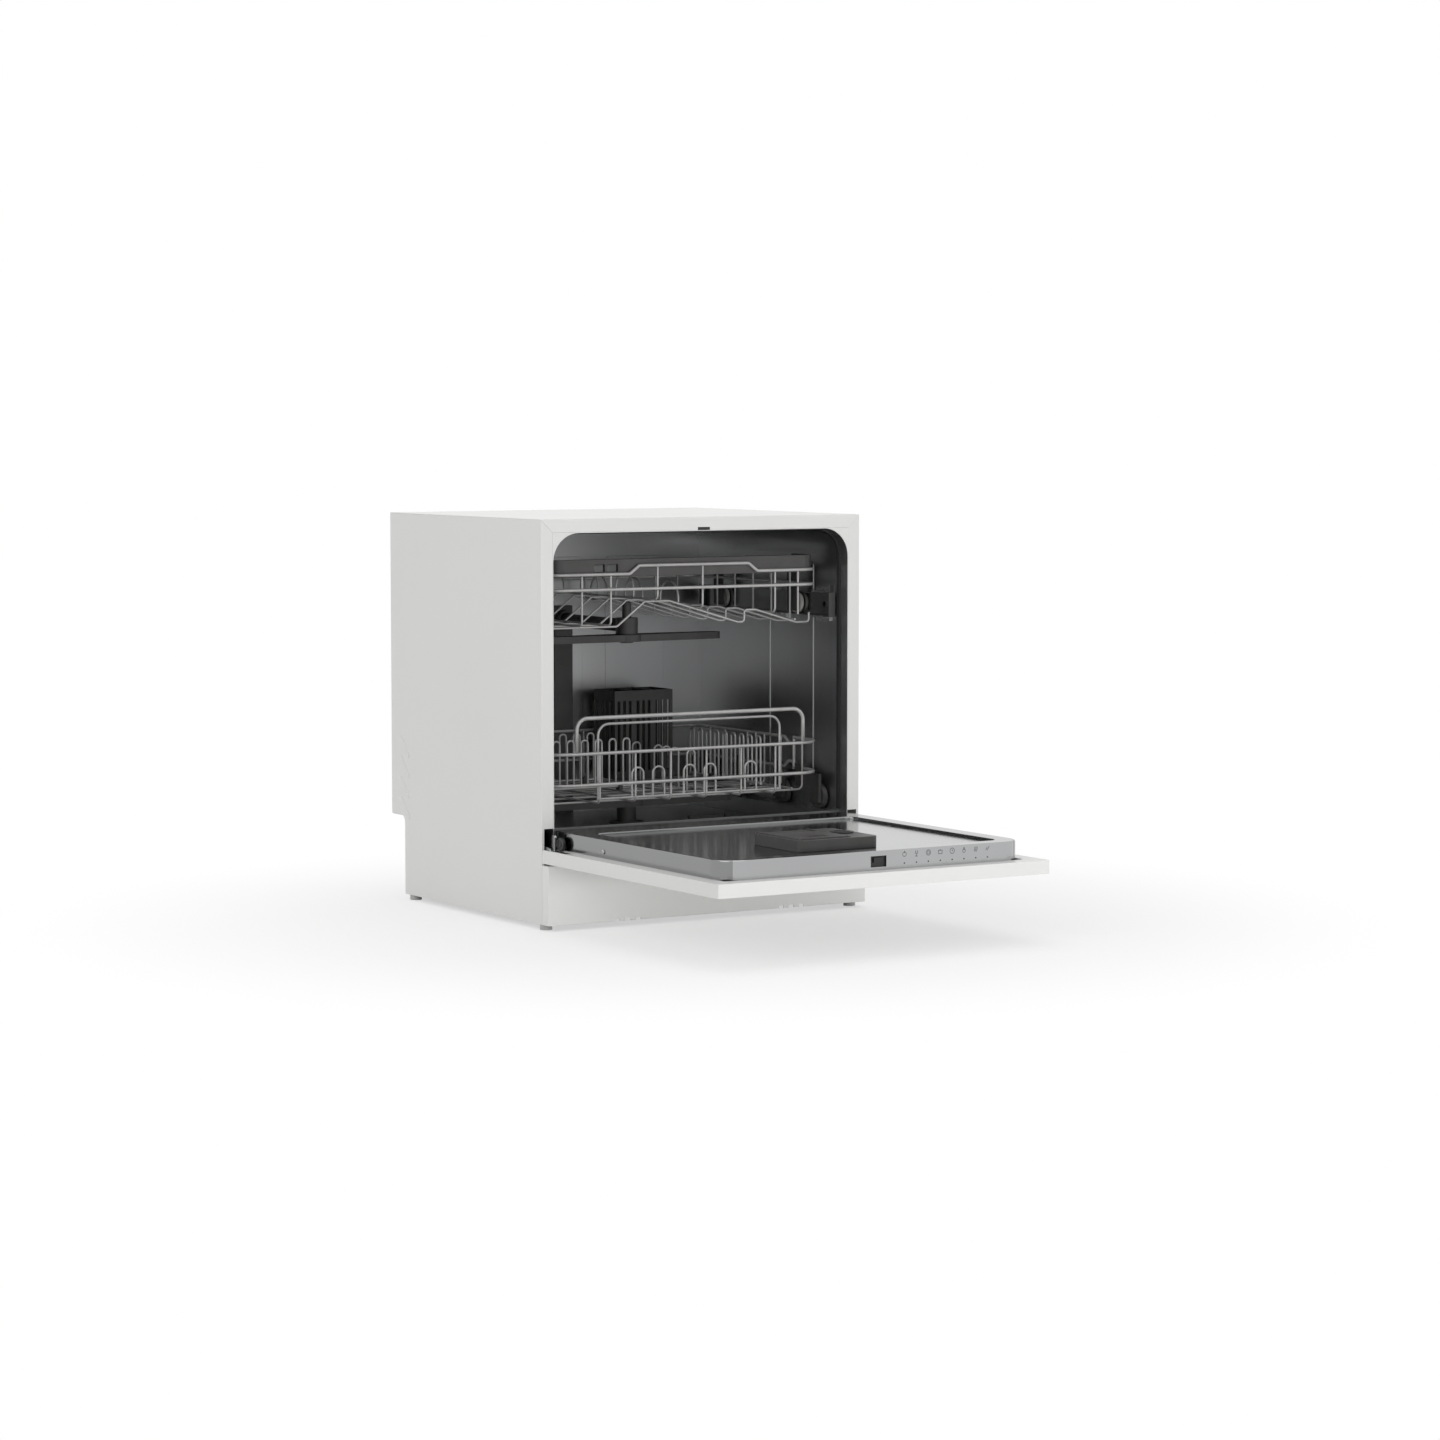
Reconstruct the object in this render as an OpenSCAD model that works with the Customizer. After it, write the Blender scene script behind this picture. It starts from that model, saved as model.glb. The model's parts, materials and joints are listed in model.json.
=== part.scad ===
// Countertop dishwasher with a drop-down door and two pull-out wire baskets.
// Millimetres. X to the right, Y to the back, Z up. The origin is on the floor,
// below the middle of the front frame. At rest the door lies open and both baskets are in.

/* [Cabinet] */
// Overall width
cabinet_w = 550; // [500:1:640]
// Overall height, feet included
cabinet_h = 595; // [560:1:680]
// Depth behind the front frame, without the door
cabinet_d = 477; // [470:1:540]
// Sheet steel of the outer casing
casing_t = 1; // [0.8:0.1:1.5]
// Width of the painted front frame
frame_w = 19.5; // [17:0.5:22]
// Height of the feet
foot_h = 8; // [4:0.5:12]
// Top edge of the plinth
plinth_top = 95; // [85:1:96]
// How far the plinth stands in front of the frame
plinth_out = 19; // [12:1:24]
// Depth of the recess at the back for the water connections
recess_d = 44; // [40:1:46]
// Top edge of that recess
recess_top = 130; // [110:1:140]

/* [Door] */
// Thickness of the painted outer panel
door_t = 19.6; // [16:0.2:24]
// Thickness of the door's sheet steel
door_sheet = 1; // [0.8:0.1:1.5]
// Gap between the closed door and the frame
door_gap = 0.6; // [0.4:0.1:2]
// Height of the hinge axis
hinge_z = 113.4; // [112:0.2:116]
// Height of the stainless inner liner over the panel
liner_h = 27; // [20:1:27]
// Distance from the door's side edge to the liner
liner_inset = 23.5; // [22.5:0.5:28]
// Distance from the door's top edge to the liner
liner_top_inset = 24; // [22.5:0.5:30]
// Corner radius of the liner
liner_r = 38; // [36:1:44]
// Depth of the pressed field in the liner
liner_field = 4; // [1:0.5:6]
// How far the dispenser stands above the liner's edge
dispenser_h = 14.3; // [9:0.1:15]
// Dispenser width
dispenser_w = 134; // [120:1:160]
// Dispenser length
dispenser_l = 122; // [110:1:130]

/* [Tub] */
// Sheet steel of the tub
tub_t = 1; // [0.8:0.1:1.5]
// Corner radius of the tub
tub_r = 42; // [38:1:48]
// Height of the tub floor
floor_z = 120; // [118:1:126]

/* [Lower basket] */
// Length of the lower basket
lower_l = 378; // [360:1:380]
// Clearance of the lower basket to each tub wall
lower_clear = 14.5; // [14.5:0.5:18]
// Height of the lower basket's top rail
lower_top = 249; // [235:1:260]
// How far the lower basket's second rail lies below the top one
lower_drop = 46; // [40:1:54]
// Height of the lower basket's floor wires
lower_floor = 172; // [171:0.5:178]
// Wheel diameter
wheel_d = 37; // [30:1:38]
// How far the lower basket pulls out
lower_travel = 375; // [300:5:380]

/* [Upper basket] */
// Length of the upper basket
upper_l = 360; // [340:1:365]
// Clearance of the upper basket to each tub wall
upper_clear = 23; // [22.5:0.5:28]
// Height of the upper basket's top rail
upper_top = 511.5; // [500:0.5:520]
// How far the upper basket's second rail lies below the top one
upper_drop = 22.5; // [20:0.5:28]
// Height of the upper basket's floor wires at the sides
upper_floor = 433; // [431:0.5:437]
// How far the upper basket pulls out
upper_travel = 250; // [200:5:260]

/* [Wires] */
// Thickness of the baskets' frame wires
rail_d = 5; // [4:0.5:6]
// Thickness of the baskets' thin wires
wire_d = 3.2; // [2.5:0.1:4]
// How deep two crossing wires are welded into each other
weld = 0.4; // [0.2:0.1:0.8]

/* [Spray arms] */
// Tip radius of the lower spray arm
lower_arm_r = 186; // [150:1:188]
// Tip radius of the upper spray arm
upper_arm_r = 165; // [130:1:175]

/* [Hidden] */
$fn = 40;
// colours
white = "#e6e6e3";
white_top = "#efefec";
steel = "#9c9fa1";
dark_steel = "#6f7274";
wire_grey = "#c3c4c4";
plastic = "#55534f";
black = "#1d1d1e";
rubber = "#2b2b2c";
pale = "#d8d8d2";
copper = "#8a6a45";

// small values shared by many pieces
hair = 0.3;
fine = 0.05;
skin = 2;

// cabinet
half_w = cabinet_w / 2;
side_x = half_w - casing_t;
tub_ox = half_w - frame_w;
tub_ix = tub_ox - tub_t;
tub_oz = cabinet_h - frame_w;
tub_iz = tub_oz - tub_t;
tub_or = tub_r + tub_t;
flange_end = hinge_z + 34;
lid_z = cabinet_h - casing_t;
recess_y = cabinet_d - recess_d;
tub_d = recess_y - 2;
lower_mid = lower_top - lower_drop;
upper_mid = upper_top - upper_drop;
field_top = tub_iz - 52.5;
back_y = cabinet_d - casing_t;

// door: every value is for the open door
hinge_in = 4;
hinge_y = -door_gap - hinge_in;
panel_in = hinge_z + hinge_in;
panel_out = panel_in - door_t;
door_front = hinge_y - (cabinet_h - hinge_z);
door_back = hinge_y + 3.4;
liner_x = half_w - liner_inset;
liner_z = panel_in + liner_h;
liner_front = door_front + liner_top_inset;
liner_tail = 6;
liner_back = hinge_y + liner_tail;
panel_lip = liner_inset + 2.5;
sill_y = hinge_y + norm([liner_tail, hinge_in + liner_h]) + 1.5;
track_z = liner_z;
track_x = tub_ix - 20;
arm_x = tub_ox + 5;
arm_t = 3;
bracket_x = arm_x + arm_t + 2.5;
pin_r = 3;
latch_w = 26;
latch_z0 = panel_in + 4.6;
latch_h = 15.4;

// lower basket, pushed in
lower_hw = tub_ix - lower_clear;
lower_front = 40;
lower_back = lower_front + lower_l;
lower_r = 46;
lower_back_r = 18;
inset = rail_d / 2 + wire_d / 2 - weld;
cross = wire_d - weld;
hoop_r = 8;
front_arm = 87;
tine_pitch = 24.4;
lower_hoops = [98, 158, 206, 231, 158 + 4 * tine_pitch, 322, 366];
lower_posts = [-214, -153, -92, -31, 31, 92, 153, 214];
wheel_r = wheel_d / 2;
wheel_z = track_z + hair + wheel_r;
wheel_y = [67, 170, 288, 391];
wheel_x0 = lower_hw + rail_d / 2 + 0.9;
wheel_x1 = liner_x - hair;
axle_r = 4;
tine_gap = 22;
tine_h = 72;
tine_rod = 4.5;
tine_z = lower_floor + cross + wire_d / 2 + 6;

// upper basket, pushed in
upper_hw = tub_ix - upper_clear;
upper_front = 46;
upper_back = upper_front + upper_l;
upper_r = 25;
upper_peak = upper_floor + 33;
hoop_pitch = 53;
upper_hoops = [for (i = [0:6]) upper_front + 21 + i * hoop_pitch];
upper_posts = [-179, -130, -50, 28, 156, 197];
bump = [-92, 114];
bump_h = 12;
rail_web = tub_ix - 5.5;
rail_z = 457.5;
rail_h = 35;
rail_t = 1.2;
rail_deep = 10;
rail_y = [29, 405];
roller_r = rail_h / 2 - rail_t - hair;
roller_y = [125, 340];
arm_c = 226;
feed_z = 424;
feed_r = 10;
lower_c = 228;
tray_z = foot_h + casing_t + hair + 2.5;

// ---------------------------------------------------------------- helpers

// A block between two corners
module block(a, b) {
    translate(a) cube(b - a);
}

// Both sides: the child is drawn for the left and mirrored to the right
module both_sides() {
    children();
    mirror([1, 0, 0]) children();
}

// Straight wires and pins along the three axes
module rod_x(y, z, x0, x1, d) {
    translate([x0, y, z]) rotate([0, 90, 0]) cylinder(d = d, h = x1 - x0);
}
module rod_y(x, z, y0, y1, d) {
    translate([x, y0, z]) rotate([-90, 0, 0]) cylinder(d = d, h = y1 - y0);
}
module rod_z(x, y, z0, z1, d) {
    translate([x, y, z0]) cylinder(d = d, h = z1 - z0);
}

// Lays a plane's drawing upright: its x and y become Y and Z, at the given X
module in_yz(x) {
    translate([x, 0, 0]) rotate([90, 0, 90]) children();
}
// Lays a plane's drawing upright: its x and y become X and Z, at the given Y
module in_xz(y) {
    translate([0, y, 0]) rotate([90, 0, 0]) children();
}

// Signed turn at b on the way from a to c
function turn(a, b, c) =
    let (u = b - a, v = c - b) atan2(u[0] * v[1] - u[1] * v[0], u * v);
// Length that a bend of radius r takes off each leg
function trim(a, b, c, r) = r * tan(abs(turn(a, b, c)) / 2);

// One bend of a wire at b
module bend(a, b, c, r, d) {
    s = turn(a, b, c);
    u = (b - a) / norm(b - a);
    side = s > 0 ? 1 : -1;
    normal = side * [-u[1], u[0]];
    middle = b - u * trim(a, b, c, r) + normal * r;
    from = atan2(-normal[1], -normal[0]);
    translate(middle) rotate([0, 0, s > 0 ? from : from + s])
        rotate_extrude(angle = abs(s)) translate([r, 0]) circle(d = d);
}

// A round wire along points in the XY plane, bent at each. r is one radius or one for each point.
// Slopes of 3 in 4 and 7 in 24 keep every end on a round number.
module wire_path(points, r, d) {
    last = len(points) - 1;
    radii = is_list(r) ? r : [for (p = points) r];
    for (i = [0 : last - 1]) {
        a = points[i];
        b = points[i + 1];
        u = (b - a) / norm(b - a);
        cut_a = i > 0 ? trim(points[i - 1], a, b, radii[i]) : 0;
        cut_b = i < last - 1 ? trim(a, b, points[i + 2], radii[i + 1]) : 0;
        run = norm(b - a) - cut_a - cut_b;
        translate(a + u * cut_a) rotate([0, 0, atan2(u[1], u[0])]) rotate([0, 90, 0])
            cylinder(d = d, h = run);
        if (i < last - 1) bend(a, b, points[i + 2], radii[i + 1], d);
    }
}

// A hairpin of two legs and a round top, its legs w apart along the plane's x
module hairpin(w, h, d) {
    wire_path([[0, 0], [0, h], [w, h], [w, 0]], w / 2 - 0.01, d);
}

// A flat shape with two round top corners; x is centred and y runs from y0 to y1
module arch(w, y0, y1, r) {
    translate([-w / 2, y0]) square([w, y1 - y0 - r]);
    translate([-w / 2 + r, y0]) square([w - 2 * r, y1 - y0]);
    for (x = [-1, 1]) translate([x * (w / 2 - r), y1 - r]) circle(r = r);
}

// A rectangle from a to b with round corners
module round_rect(a, b, r) {
    translate([a[0] + r, a[1]]) square([b[0] - a[0] - 2 * r, b[1] - a[1]]);
    translate([a[0], a[1] + r]) square([b[0] - a[0], b[1] - a[1] - 2 * r]);
    for (x = [a[0] + r, b[0] - r], y = [a[1] + r, b[1] - r]) translate([x, y]) circle(r = r);
}

// ---------------------------------------------------------------- casing

// Outline of a side panel seen from the side, with the recess at its lower back corner
module side_outline() {
    r = 12;
    difference() {
        translate([0, foot_h]) square([cabinet_d, lid_z - foot_h]);
        translate([recess_y, foot_h - 1]) square([recess_d + 1, recess_top - foot_h + 1 - r]);
        translate([recess_y + r, foot_h - 1]) square([recess_d, recess_top - foot_h + 1]);
        translate([recess_y + r, recess_top - r]) circle(r = r);
    }
}

// One slanted vent slot in the side panel
module vent_slot(z) {
    translate([0, recess_y, z]) rotate([-44, 0, 0])
        block([-half_w - 1, -1.6, -21], [-side_x + 1, 1.6, 21]);
}

module side_panel() {
    vent_z = [for (i = [0:3]) recess_top + 12 + i * 31.5];
    difference() {
        union() {
            in_yz(-half_w) linear_extrude(casing_t) side_outline();
            // front flange, mitred against the top panel
            in_xz(casing_t) linear_extrude(casing_t) polygon([
                [-half_w, foot_h], [-half_w + 4, foot_h], [-half_w + 4, flange_end],
                [-tub_ox, flange_end], [-tub_ox, tub_oz - hair],
                [-side_x - hair, lid_z], [-half_w, lid_z]]);
            block([-half_w, back_y, recess_top], [-half_w + 14, cabinet_d, lid_z]);
            block([-half_w, casing_t, foot_h], [-half_w + 14, recess_y - 2, foot_h + casing_t]);
        }
        for (z = vent_z) vent_slot(z);
    }
    // hoods that the vents are lanced into
    for (z = vent_z) translate([0, recess_y, z]) rotate([-44, 0, 0])
        block([-side_x, 1.6, -21], [-side_x + 3, 2.6, 21]);
}

module left_side_panel() {
    color(white) side_panel();
}

module right_side_panel() {
    color(white) mirror([1, 0, 0]) side_panel();
}

module top_panel() {
    catch_w = 21;
    color(white_top) {
        block([-half_w, 0, lid_z], [half_w, cabinet_d, cabinet_h]);
        difference() {
            in_xz(casing_t) linear_extrude(casing_t) polygon([
                [-half_w + casing_t, lid_z], [half_w - casing_t, lid_z],
                [tub_ox, tub_oz], [-tub_ox, tub_oz]]);
            block([-catch_w / 2, -1, tub_oz - 1], [catch_w / 2, casing_t + 1, tub_oz + 4.5]);
        }
        block([-half_w + 15, back_y, lid_z - 14], [half_w - 15, cabinet_d, lid_z]);
    }
}

module rear_panel() {
    x = side_x - hair;
    color(pale) {
        difference() {
            block([-x, back_y - casing_t, recess_top], [x, back_y, lid_z - 1]);
            // vent field behind the pump
            for (i = [0:7]) block([-150 + i * 14, back_y - casing_t - 1, 170],
                [-144 + i * 14, back_y + 1, 230]);
        }
        block([-x, recess_y, recess_top - casing_t], [x, back_y, recess_top]);
        difference() {
            block([-x, recess_y - casing_t, foot_h + casing_t], [x, recess_y, recess_top]);
            rod_y(inlet_x, inlet_z, recess_y - 5, recess_y + 5, 2 * (spigot_r + 0.4));
            rod_y(drain_x, inlet_z, recess_y - 5, recess_y + 5, 2 * (drain_r + 0.4));
            rod_y(cable_x, inlet_z, recess_y - 5, recess_y + 5, 2 * (gland_r + 0.4));
        }
    }
}

// Painted ring between the casing's flanges and the tub, with round upper corners
module front_collar() {
    color(white) in_xz(casing_t) linear_extrude(casing_t) difference() {
        translate([-tub_ox + fine, flange_end])
            square([2 * (tub_ox - fine), tub_oz - fine - flange_end]);
        translate([0, -1]) arch(2 * tub_ix, flange_end, tub_iz + 1, tub_r);
    }
}

module base_tray() {
    x = side_x - hair;
    y0 = 2;
    y1 = recess_y - casing_t - hair;
    z0 = foot_h + casing_t + hair;
    color(black) {
        difference() {
            block([-x, y0, z0], [x, y1, z0 + 26]);
            block([-x + skin, y0 + skin, z0 + 2.5], [x - skin, y1 - skin, z0 + 30]);
        }
        // ribs that stiffen the floor
        for (y = [60, 250, 340]) block([-x + skin, y - 1, z0 + 2.5], [x - skin, y + 1, z0 + 9]);
    }
}

module plinth() {
    seam = 1;
    y = -plinth_out;
    color(white) {
        difference() {
            block([-half_w, y, foot_h], [half_w, -seam, plinth_top]);
            block([-half_w + casing_t, y + casing_t, foot_h - 1],
                [half_w - casing_t, 1, plinth_top - casing_t]);
            // air slots in the lower edge
            for (x = [-160, -142, -124, 124, 142, 160])
                block([x - 4, y - 1, foot_h - 1], [x + 4, y + casing_t + 1, foot_h + 4]);
        }
        // tabs that reach back to the casing's bottom flange
        both_sides() block([-half_w + 5, -seam - 2, foot_h + 10], [-half_w + 40, 2, foot_h + 26]);
    }
}

module feet() {
    color(plastic) for (x = [-1, 1], y = [8, recess_y - 14])
        rod_z(x * (half_w - 11), y, 0, foot_h, 18);
}

// ---------------------------------------------------------------- tub

// The tub's cross-section, grown outwards by g
module tub_section(g) {
    arch(2 * (tub_ix + g), track_z - g, tub_iz + g, tub_r + g);
    translate([-track_x - g, floor_z - g]) square([2 * (track_x + g), track_z - floor_z + 2 * g + 1]);
}

// A pressed field on the back wall
module back_field(x0, x1) {
    in_xz(tub_d) linear_extrude(1.2) round_rect([x0, floor_z + 34], [x1, field_top], 8);
}

// A pressed field on a side wall
module side_field(y0, y1) {
    in_yz(-tub_ix) linear_extrude(1.2) round_rect([y0, track_z + 12], [y1, field_top], 8);
}

module tub_shell() {
    color(steel) {
        difference() {
            union() {
                in_xz(tub_d + tub_t) linear_extrude(tub_d + tub_t - casing_t) tub_section(tub_t);
                in_xz(sill_y + tub_t) linear_extrude(sill_y + tub_t - casing_t)
                    translate([-tub_ox, 100]) square([2 * tub_ox, 60]);
            }
            in_xz(tub_d) linear_extrude(tub_d - sill_y - tub_t) tub_section(0);
            in_xz(sill_y + tub_t + 1) linear_extrude(sill_y + tub_t + 5)
                arch(2 * tub_ix, track_z, tub_iz, tub_r);
            block([-tub_ix, -5, 90], [tub_ix, sill_y, track_z + 1]);
            rod_z(filter_x, filter_y, floor_z - 5, floor_z + 5, 2 * sump_r);
            rod_z(0, lower_c, floor_z - 5, floor_z + 5, 2 * 17);
            block([-16, duct_y, floor_z - 5], [16, tub_d - 1.2, floor_z + 5]);
            block([-catch_hw, 0, tub_iz - 1], [catch_hw, catch_y1, tub_oz + 1]);
        }
        back_field(-38, 38);
        both_sides() {
            back_field(-187, -80);
            side_field(217, 347);
            side_field(94, 158);
        }
    }
}

module tub_seal() {
    t = 2.2;
    color(rubber) {
        in_xz(27) linear_extrude(6) difference() {
            arch(2 * tub_ix, flange_end, tub_iz, tub_r);
            translate([0, -1]) arch(2 * (tub_ix - t), flange_end, tub_iz - t + 1, tub_r - t);
        }
        // strip along the sill
        block([-tub_ix + hair, sill_y - 1.4, 122], [tub_ix - hair, sill_y, 132]);
    }
}

filter_x = 95;
filter_y = 150;
filter_r = 40;
sump_r = 55;
sump_z = 68;
duct_y = tub_d - 9;

module sump() {
    color(black) difference() {
        union() {
            rod_z(filter_x, filter_y, sump_z, floor_z - tub_t, 2 * (sump_r + 8));
            // throat to the spray hub
            rod_z(0, lower_c, sump_z + 14, floor_z - tub_t, 2 * 24);
            block([-22, filter_y, sump_z + 14], [filter_x, lower_c, floor_z - 8]);
        }
        rod_z(filter_x, filter_y, sump_z + 3, floor_z, 2 * sump_r);
        rod_z(0, lower_c, sump_z + 30, floor_z, 2 * 15);
    }
    color(black) translate([filter_x, filter_y, 0]) for (a = [45, 135, 225, 315]) rotate(a)
        translate([sump_r + 2, 0, tray_z]) cylinder(r = 4, h = sump_z - tray_z);
}

module filter_plate() {
    color(dark_steel) difference() {
        rod_z(filter_x, filter_y, floor_z, floor_z + 1.2, 2 * (sump_r + 14));
        rod_z(filter_x, filter_y, floor_z - 1, floor_z + 3, 2 * (filter_r + 0.08));
        // drain holes in rings
        for (k = [0:35]) rotate_about(filter_x, filter_y, k * 10)
            rod_z(filter_x + 47, filter_y, floor_z - 1, floor_z + 3, 3.4);
    }
}

// Turns its child about a vertical line
module rotate_about(x, y, a) {
    translate([x, y, 0]) rotate([0, 0, a]) translate([-x, -y, 0]) children();
}

module filter_cylinder() {
    color(plastic) translate([filter_x, filter_y, 0]) {
        difference() {
            rod_z(0, 0, sump_z + 3.3, floor_z + 3.4, 2 * filter_r);
            rod_z(0, 0, sump_z + 6, floor_z + 1.4, 2 * (filter_r - skin));
        }
        // collar that rests on the plate
        difference() {
            rod_z(0, 0, floor_z + 1.5, floor_z + 3.4, 2 * (filter_r + 3));
            rod_z(0, 0, floor_z, floor_z + 3.3, 2 * (filter_r - 1));
        }
        // grip bar and finger cup
        block([-30, -4, floor_z + 3.4], [30, 4, floor_z + 15]);
        difference() {
            rod_z(0, 0, floor_z + 3.4, floor_z + 9, 2 * 24);
            rod_z(0, 0, floor_z + 3.4, floor_z + 12, 2 * 21);
        }
    }
}

module spray_hub() {
    color(plastic) {
        rod_z(0, lower_c, floor_z, floor_z + 4, 2 * 26);
        rod_z(0, lower_c, floor_z + 4, 147.5, 2 * 15);
        rod_z(0, lower_c, 147.5, 160.4, 2 * 9);
        rod_z(0, lower_c, 160.4, 164, 2 * 14);
        // pipe down into the sump
        rod_z(0, lower_c, sump_z + 30, floor_z, 2 * 15);
    }
}

module feed_duct() {
    mouth = upper_back + 6;
    color(plastic) difference() {
        union() {
            // flat duct up the back wall
            block([-16, duct_y, floor_z - 3], [16, tub_d - 1.2, feed_z + 22]);
            rod_y(0, feed_z, mouth, duct_y, 2 * (feed_r + 5));
            // pipe under the floor, back from the hub's throat
            block([-16, lower_c + 24, floor_z - 22], [16, tub_d - 1.2, floor_z - 3]);
        }
        rod_y(0, feed_z, mouth - 1, duct_y + 2, 2 * (feed_r + 1.5));
    }
}

module circulation_pump() {
    x = -115;
    y = 200;
    z = 62;
    color(black) {
        rod_x(y, z, x - 62, x + 10, 2 * 36);
        rod_x(y, z, x + 10, x + 40, 2 * 42);
        rod_x(y, z, x + 40, x + 72, 2 * 17);
    }
    color(copper) rod_x(y, z, x - 72, x - 62, 2 * 22);
    // rubber foot on the base tray
    color(black) block([x - 40, y - 20, tray_z], [x + 5, y + 20, z - 20]);
    // suction pipe to the sump
    color(black) block([x + 72, y - 14, z - 12], [-22, y + 14, z + 18]);
    color(black) block([-36, y - 14, z + 18], [-22, y + 14, z + 38]);
}

module drain_pump() {
    x = filter_x + sump_r + 8;
    color(black) {
        rod_x(filter_y, 84, x, x + 24, 2 * 12);
        rod_x(filter_y, 84, x + 24, x + 70, 2 * 24);
        block([x + 30, filter_y - 12, tray_z], [x + 60, filter_y + 12, 70]);
    }
}

inlet_x = 190;
inlet_z = 62;
drain_x = 120;
cable_x = -205;
spigot_r = 13.2;
drain_r = 11;
neck_l = 0.6;
gland_r = 8;

module inlet_valve() {
    color(pale) {
        block([inlet_x - 20, recess_y - 46, inlet_z - 20], [inlet_x + 20, recess_y - 8, inlet_z + 20]);
        rod_y(inlet_x, inlet_z, recess_y - 8, recess_y - casing_t, 2 * 18);
        // narrow neck where the spigot passes the panel
        difference() {
            union() {
                rod_y(inlet_x, inlet_z, recess_y - casing_t, recess_y + neck_l, 2 * (spigot_r - 0.8));
                rod_y(inlet_x, inlet_z, recess_y + neck_l, recess_y + 26, 2 * spigot_r);
            }
            rod_y(inlet_x, inlet_z, recess_y + 2, recess_y + 27, 2 * 8);
        }
        block([inlet_x - 12, recess_y - 40, tray_z], [inlet_x + 12, recess_y - 14, inlet_z - 20]);
    }
    color(black) rod_z(inlet_x, recess_y - 27, inlet_z + 20, inlet_z + 48, 26);
}

module drain_outlet() {
    color(plastic) difference() {
        union() {
            rod_y(drain_x, inlet_z, recess_y - 14, recess_y - casing_t, 2 * 17);
            rod_y(drain_x, inlet_z, recess_y - casing_t, recess_y + neck_l, 2 * (drain_r - 0.8));
            rod_y(drain_x, inlet_z, recess_y + neck_l, recess_y + 34, 2 * drain_r);
        }
        rod_y(drain_x, inlet_z, recess_y - 10, recess_y + 35, 2 * 8);
    }
}

module cable_gland() {
    color(black) difference() {
        union() {
            rod_y(cable_x, inlet_z, recess_y - 12, recess_y + 2, 2 * gland_r);
            rod_y(cable_x, inlet_z, recess_y, recess_y + 4, 2 * 13);
            rod_y(cable_x, inlet_z, recess_y - 6, recess_y - casing_t, 2 * 12);
        }
        rod_y(cable_x, inlet_z, recess_y - 13, recess_y + 5, 2 * 4);
    }
}

module air_break() {
    y0 = 120;
    z0 = floor_z + 30;
    z1 = 430;
    color(pale) difference() {
        block([-side_x + hair, y0, z0], [-tub_ox, tub_d - 31, z1]);
        // moulded channels seen from the outside
        for (k = [0:3]) block([-side_x - 1, y0 + 30 + k * 55, z0 + 25], [-side_x + 9, y0 + 70 + k * 55, z1 - 25]);
    }
}

catch_hw = 10;
catch_y1 = 20;

module latch_catch() {
    color(black) {
        difference() {
            union() {
                block([-catch_hw, 0.2, tub_oz + fine], [catch_hw, catch_y1, tub_oz + 4.2]);
                block([-catch_hw, casing_t + fine, tub_iz], [catch_hw, catch_y1, tub_oz + 1]);
            }
            // pocket that the tongue rises into
            block([-catch_hw + 1, 9.6, tub_iz - 1], [catch_hw - 1, catch_y1 - 1.4, tub_oz + 3.2]);
        }
        // lip that the tongue holds on to
        block([-catch_hw + 1, casing_t + fine, tub_iz - 0.9], [catch_hw - 1, 9.6, tub_iz]);
    }
}

module hinge_brackets() {
    color(dark_steel) both_sides() {
        in_yz(-bracket_x - arm_t) linear_extrude(arm_t) {
            translate([hinge_y, hinge_z]) circle(r = 8);
            translate([hinge_y, hinge_z - 8]) square([70, 16]);
            translate([20, hinge_z - 8]) square([45, 30]);
        }
        rod_x(hinge_y, hinge_z, -bracket_x, -arm_x + 0.6, 2 * pin_r);
        rod_x(hinge_y, hinge_z, -bracket_x, -bracket_x + 1.8, 2 * 5);
        block([-side_x, 24, hinge_z - 6], [-bracket_x - arm_t, 60, hinge_z + 18]);
    }
}

module rail_guides() {
    color(dark_steel) both_sides() for (y = [64, 185]) {
        block([-tub_ix, y - 18, rail_z - rail_h / 2 - 8], [-tub_ix + 3, y + 18, rail_z + rail_h / 2 + 8]);
        for (s = [-1, 1]) block_between(
            [-tub_ix + 3, y - 18, rail_z + s * (rail_h / 2 + hair)],
            [-rail_web + 7, y + 18, rail_z + s * (rail_h / 2 + hair + 2.5)]);
    }
}

// A block between any two opposite corners
module block_between(a, b) {
    low = [for (i = [0:2]) min(a[i], b[i])];
    high = [for (i = [0:2]) max(a[i], b[i])];
    block(low, high);
}

// ---------------------------------------------------------------- door

// The panel seen from the side: its hinge edge is rounded about the pivot
module panel_profile() {
    r = door_back - hinge_y;
    translate([door_front, panel_out]) square([hinge_y - door_front, door_t]);
    translate([door_front, panel_out]) square([door_back - door_front, door_t - r]);
    translate([hinge_y, panel_in - r]) circle(r = r);
}

module door_panel() {
    s = door_sheet;
    color(white) difference() {
        in_yz(-half_w) linear_extrude(cabinet_w) panel_profile();
        block([-half_w + s, door_front + s, panel_out + s], [half_w - s, door_back - s, panel_in - s]);
        block([-half_w + panel_lip, door_front + panel_lip, panel_in - 2],
            [half_w - panel_lip, door_back + 1, panel_in + 1]);
        // corners that are open for the hinges
        both_sides() block([-bracket_x - 5.5, -62, panel_out + s], [-tub_ox - 2, 5, panel_in + 1]);
    }
}

// The liner's outline from above, drawn inside its edge by g
module liner_outline(g) {
    w = 2 * (liner_x - g);
    l = liner_back - liner_front - g;
    translate([0, liner_back]) mirror([0, 1]) arch(w, 0, l, liner_r - g);
}

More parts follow.
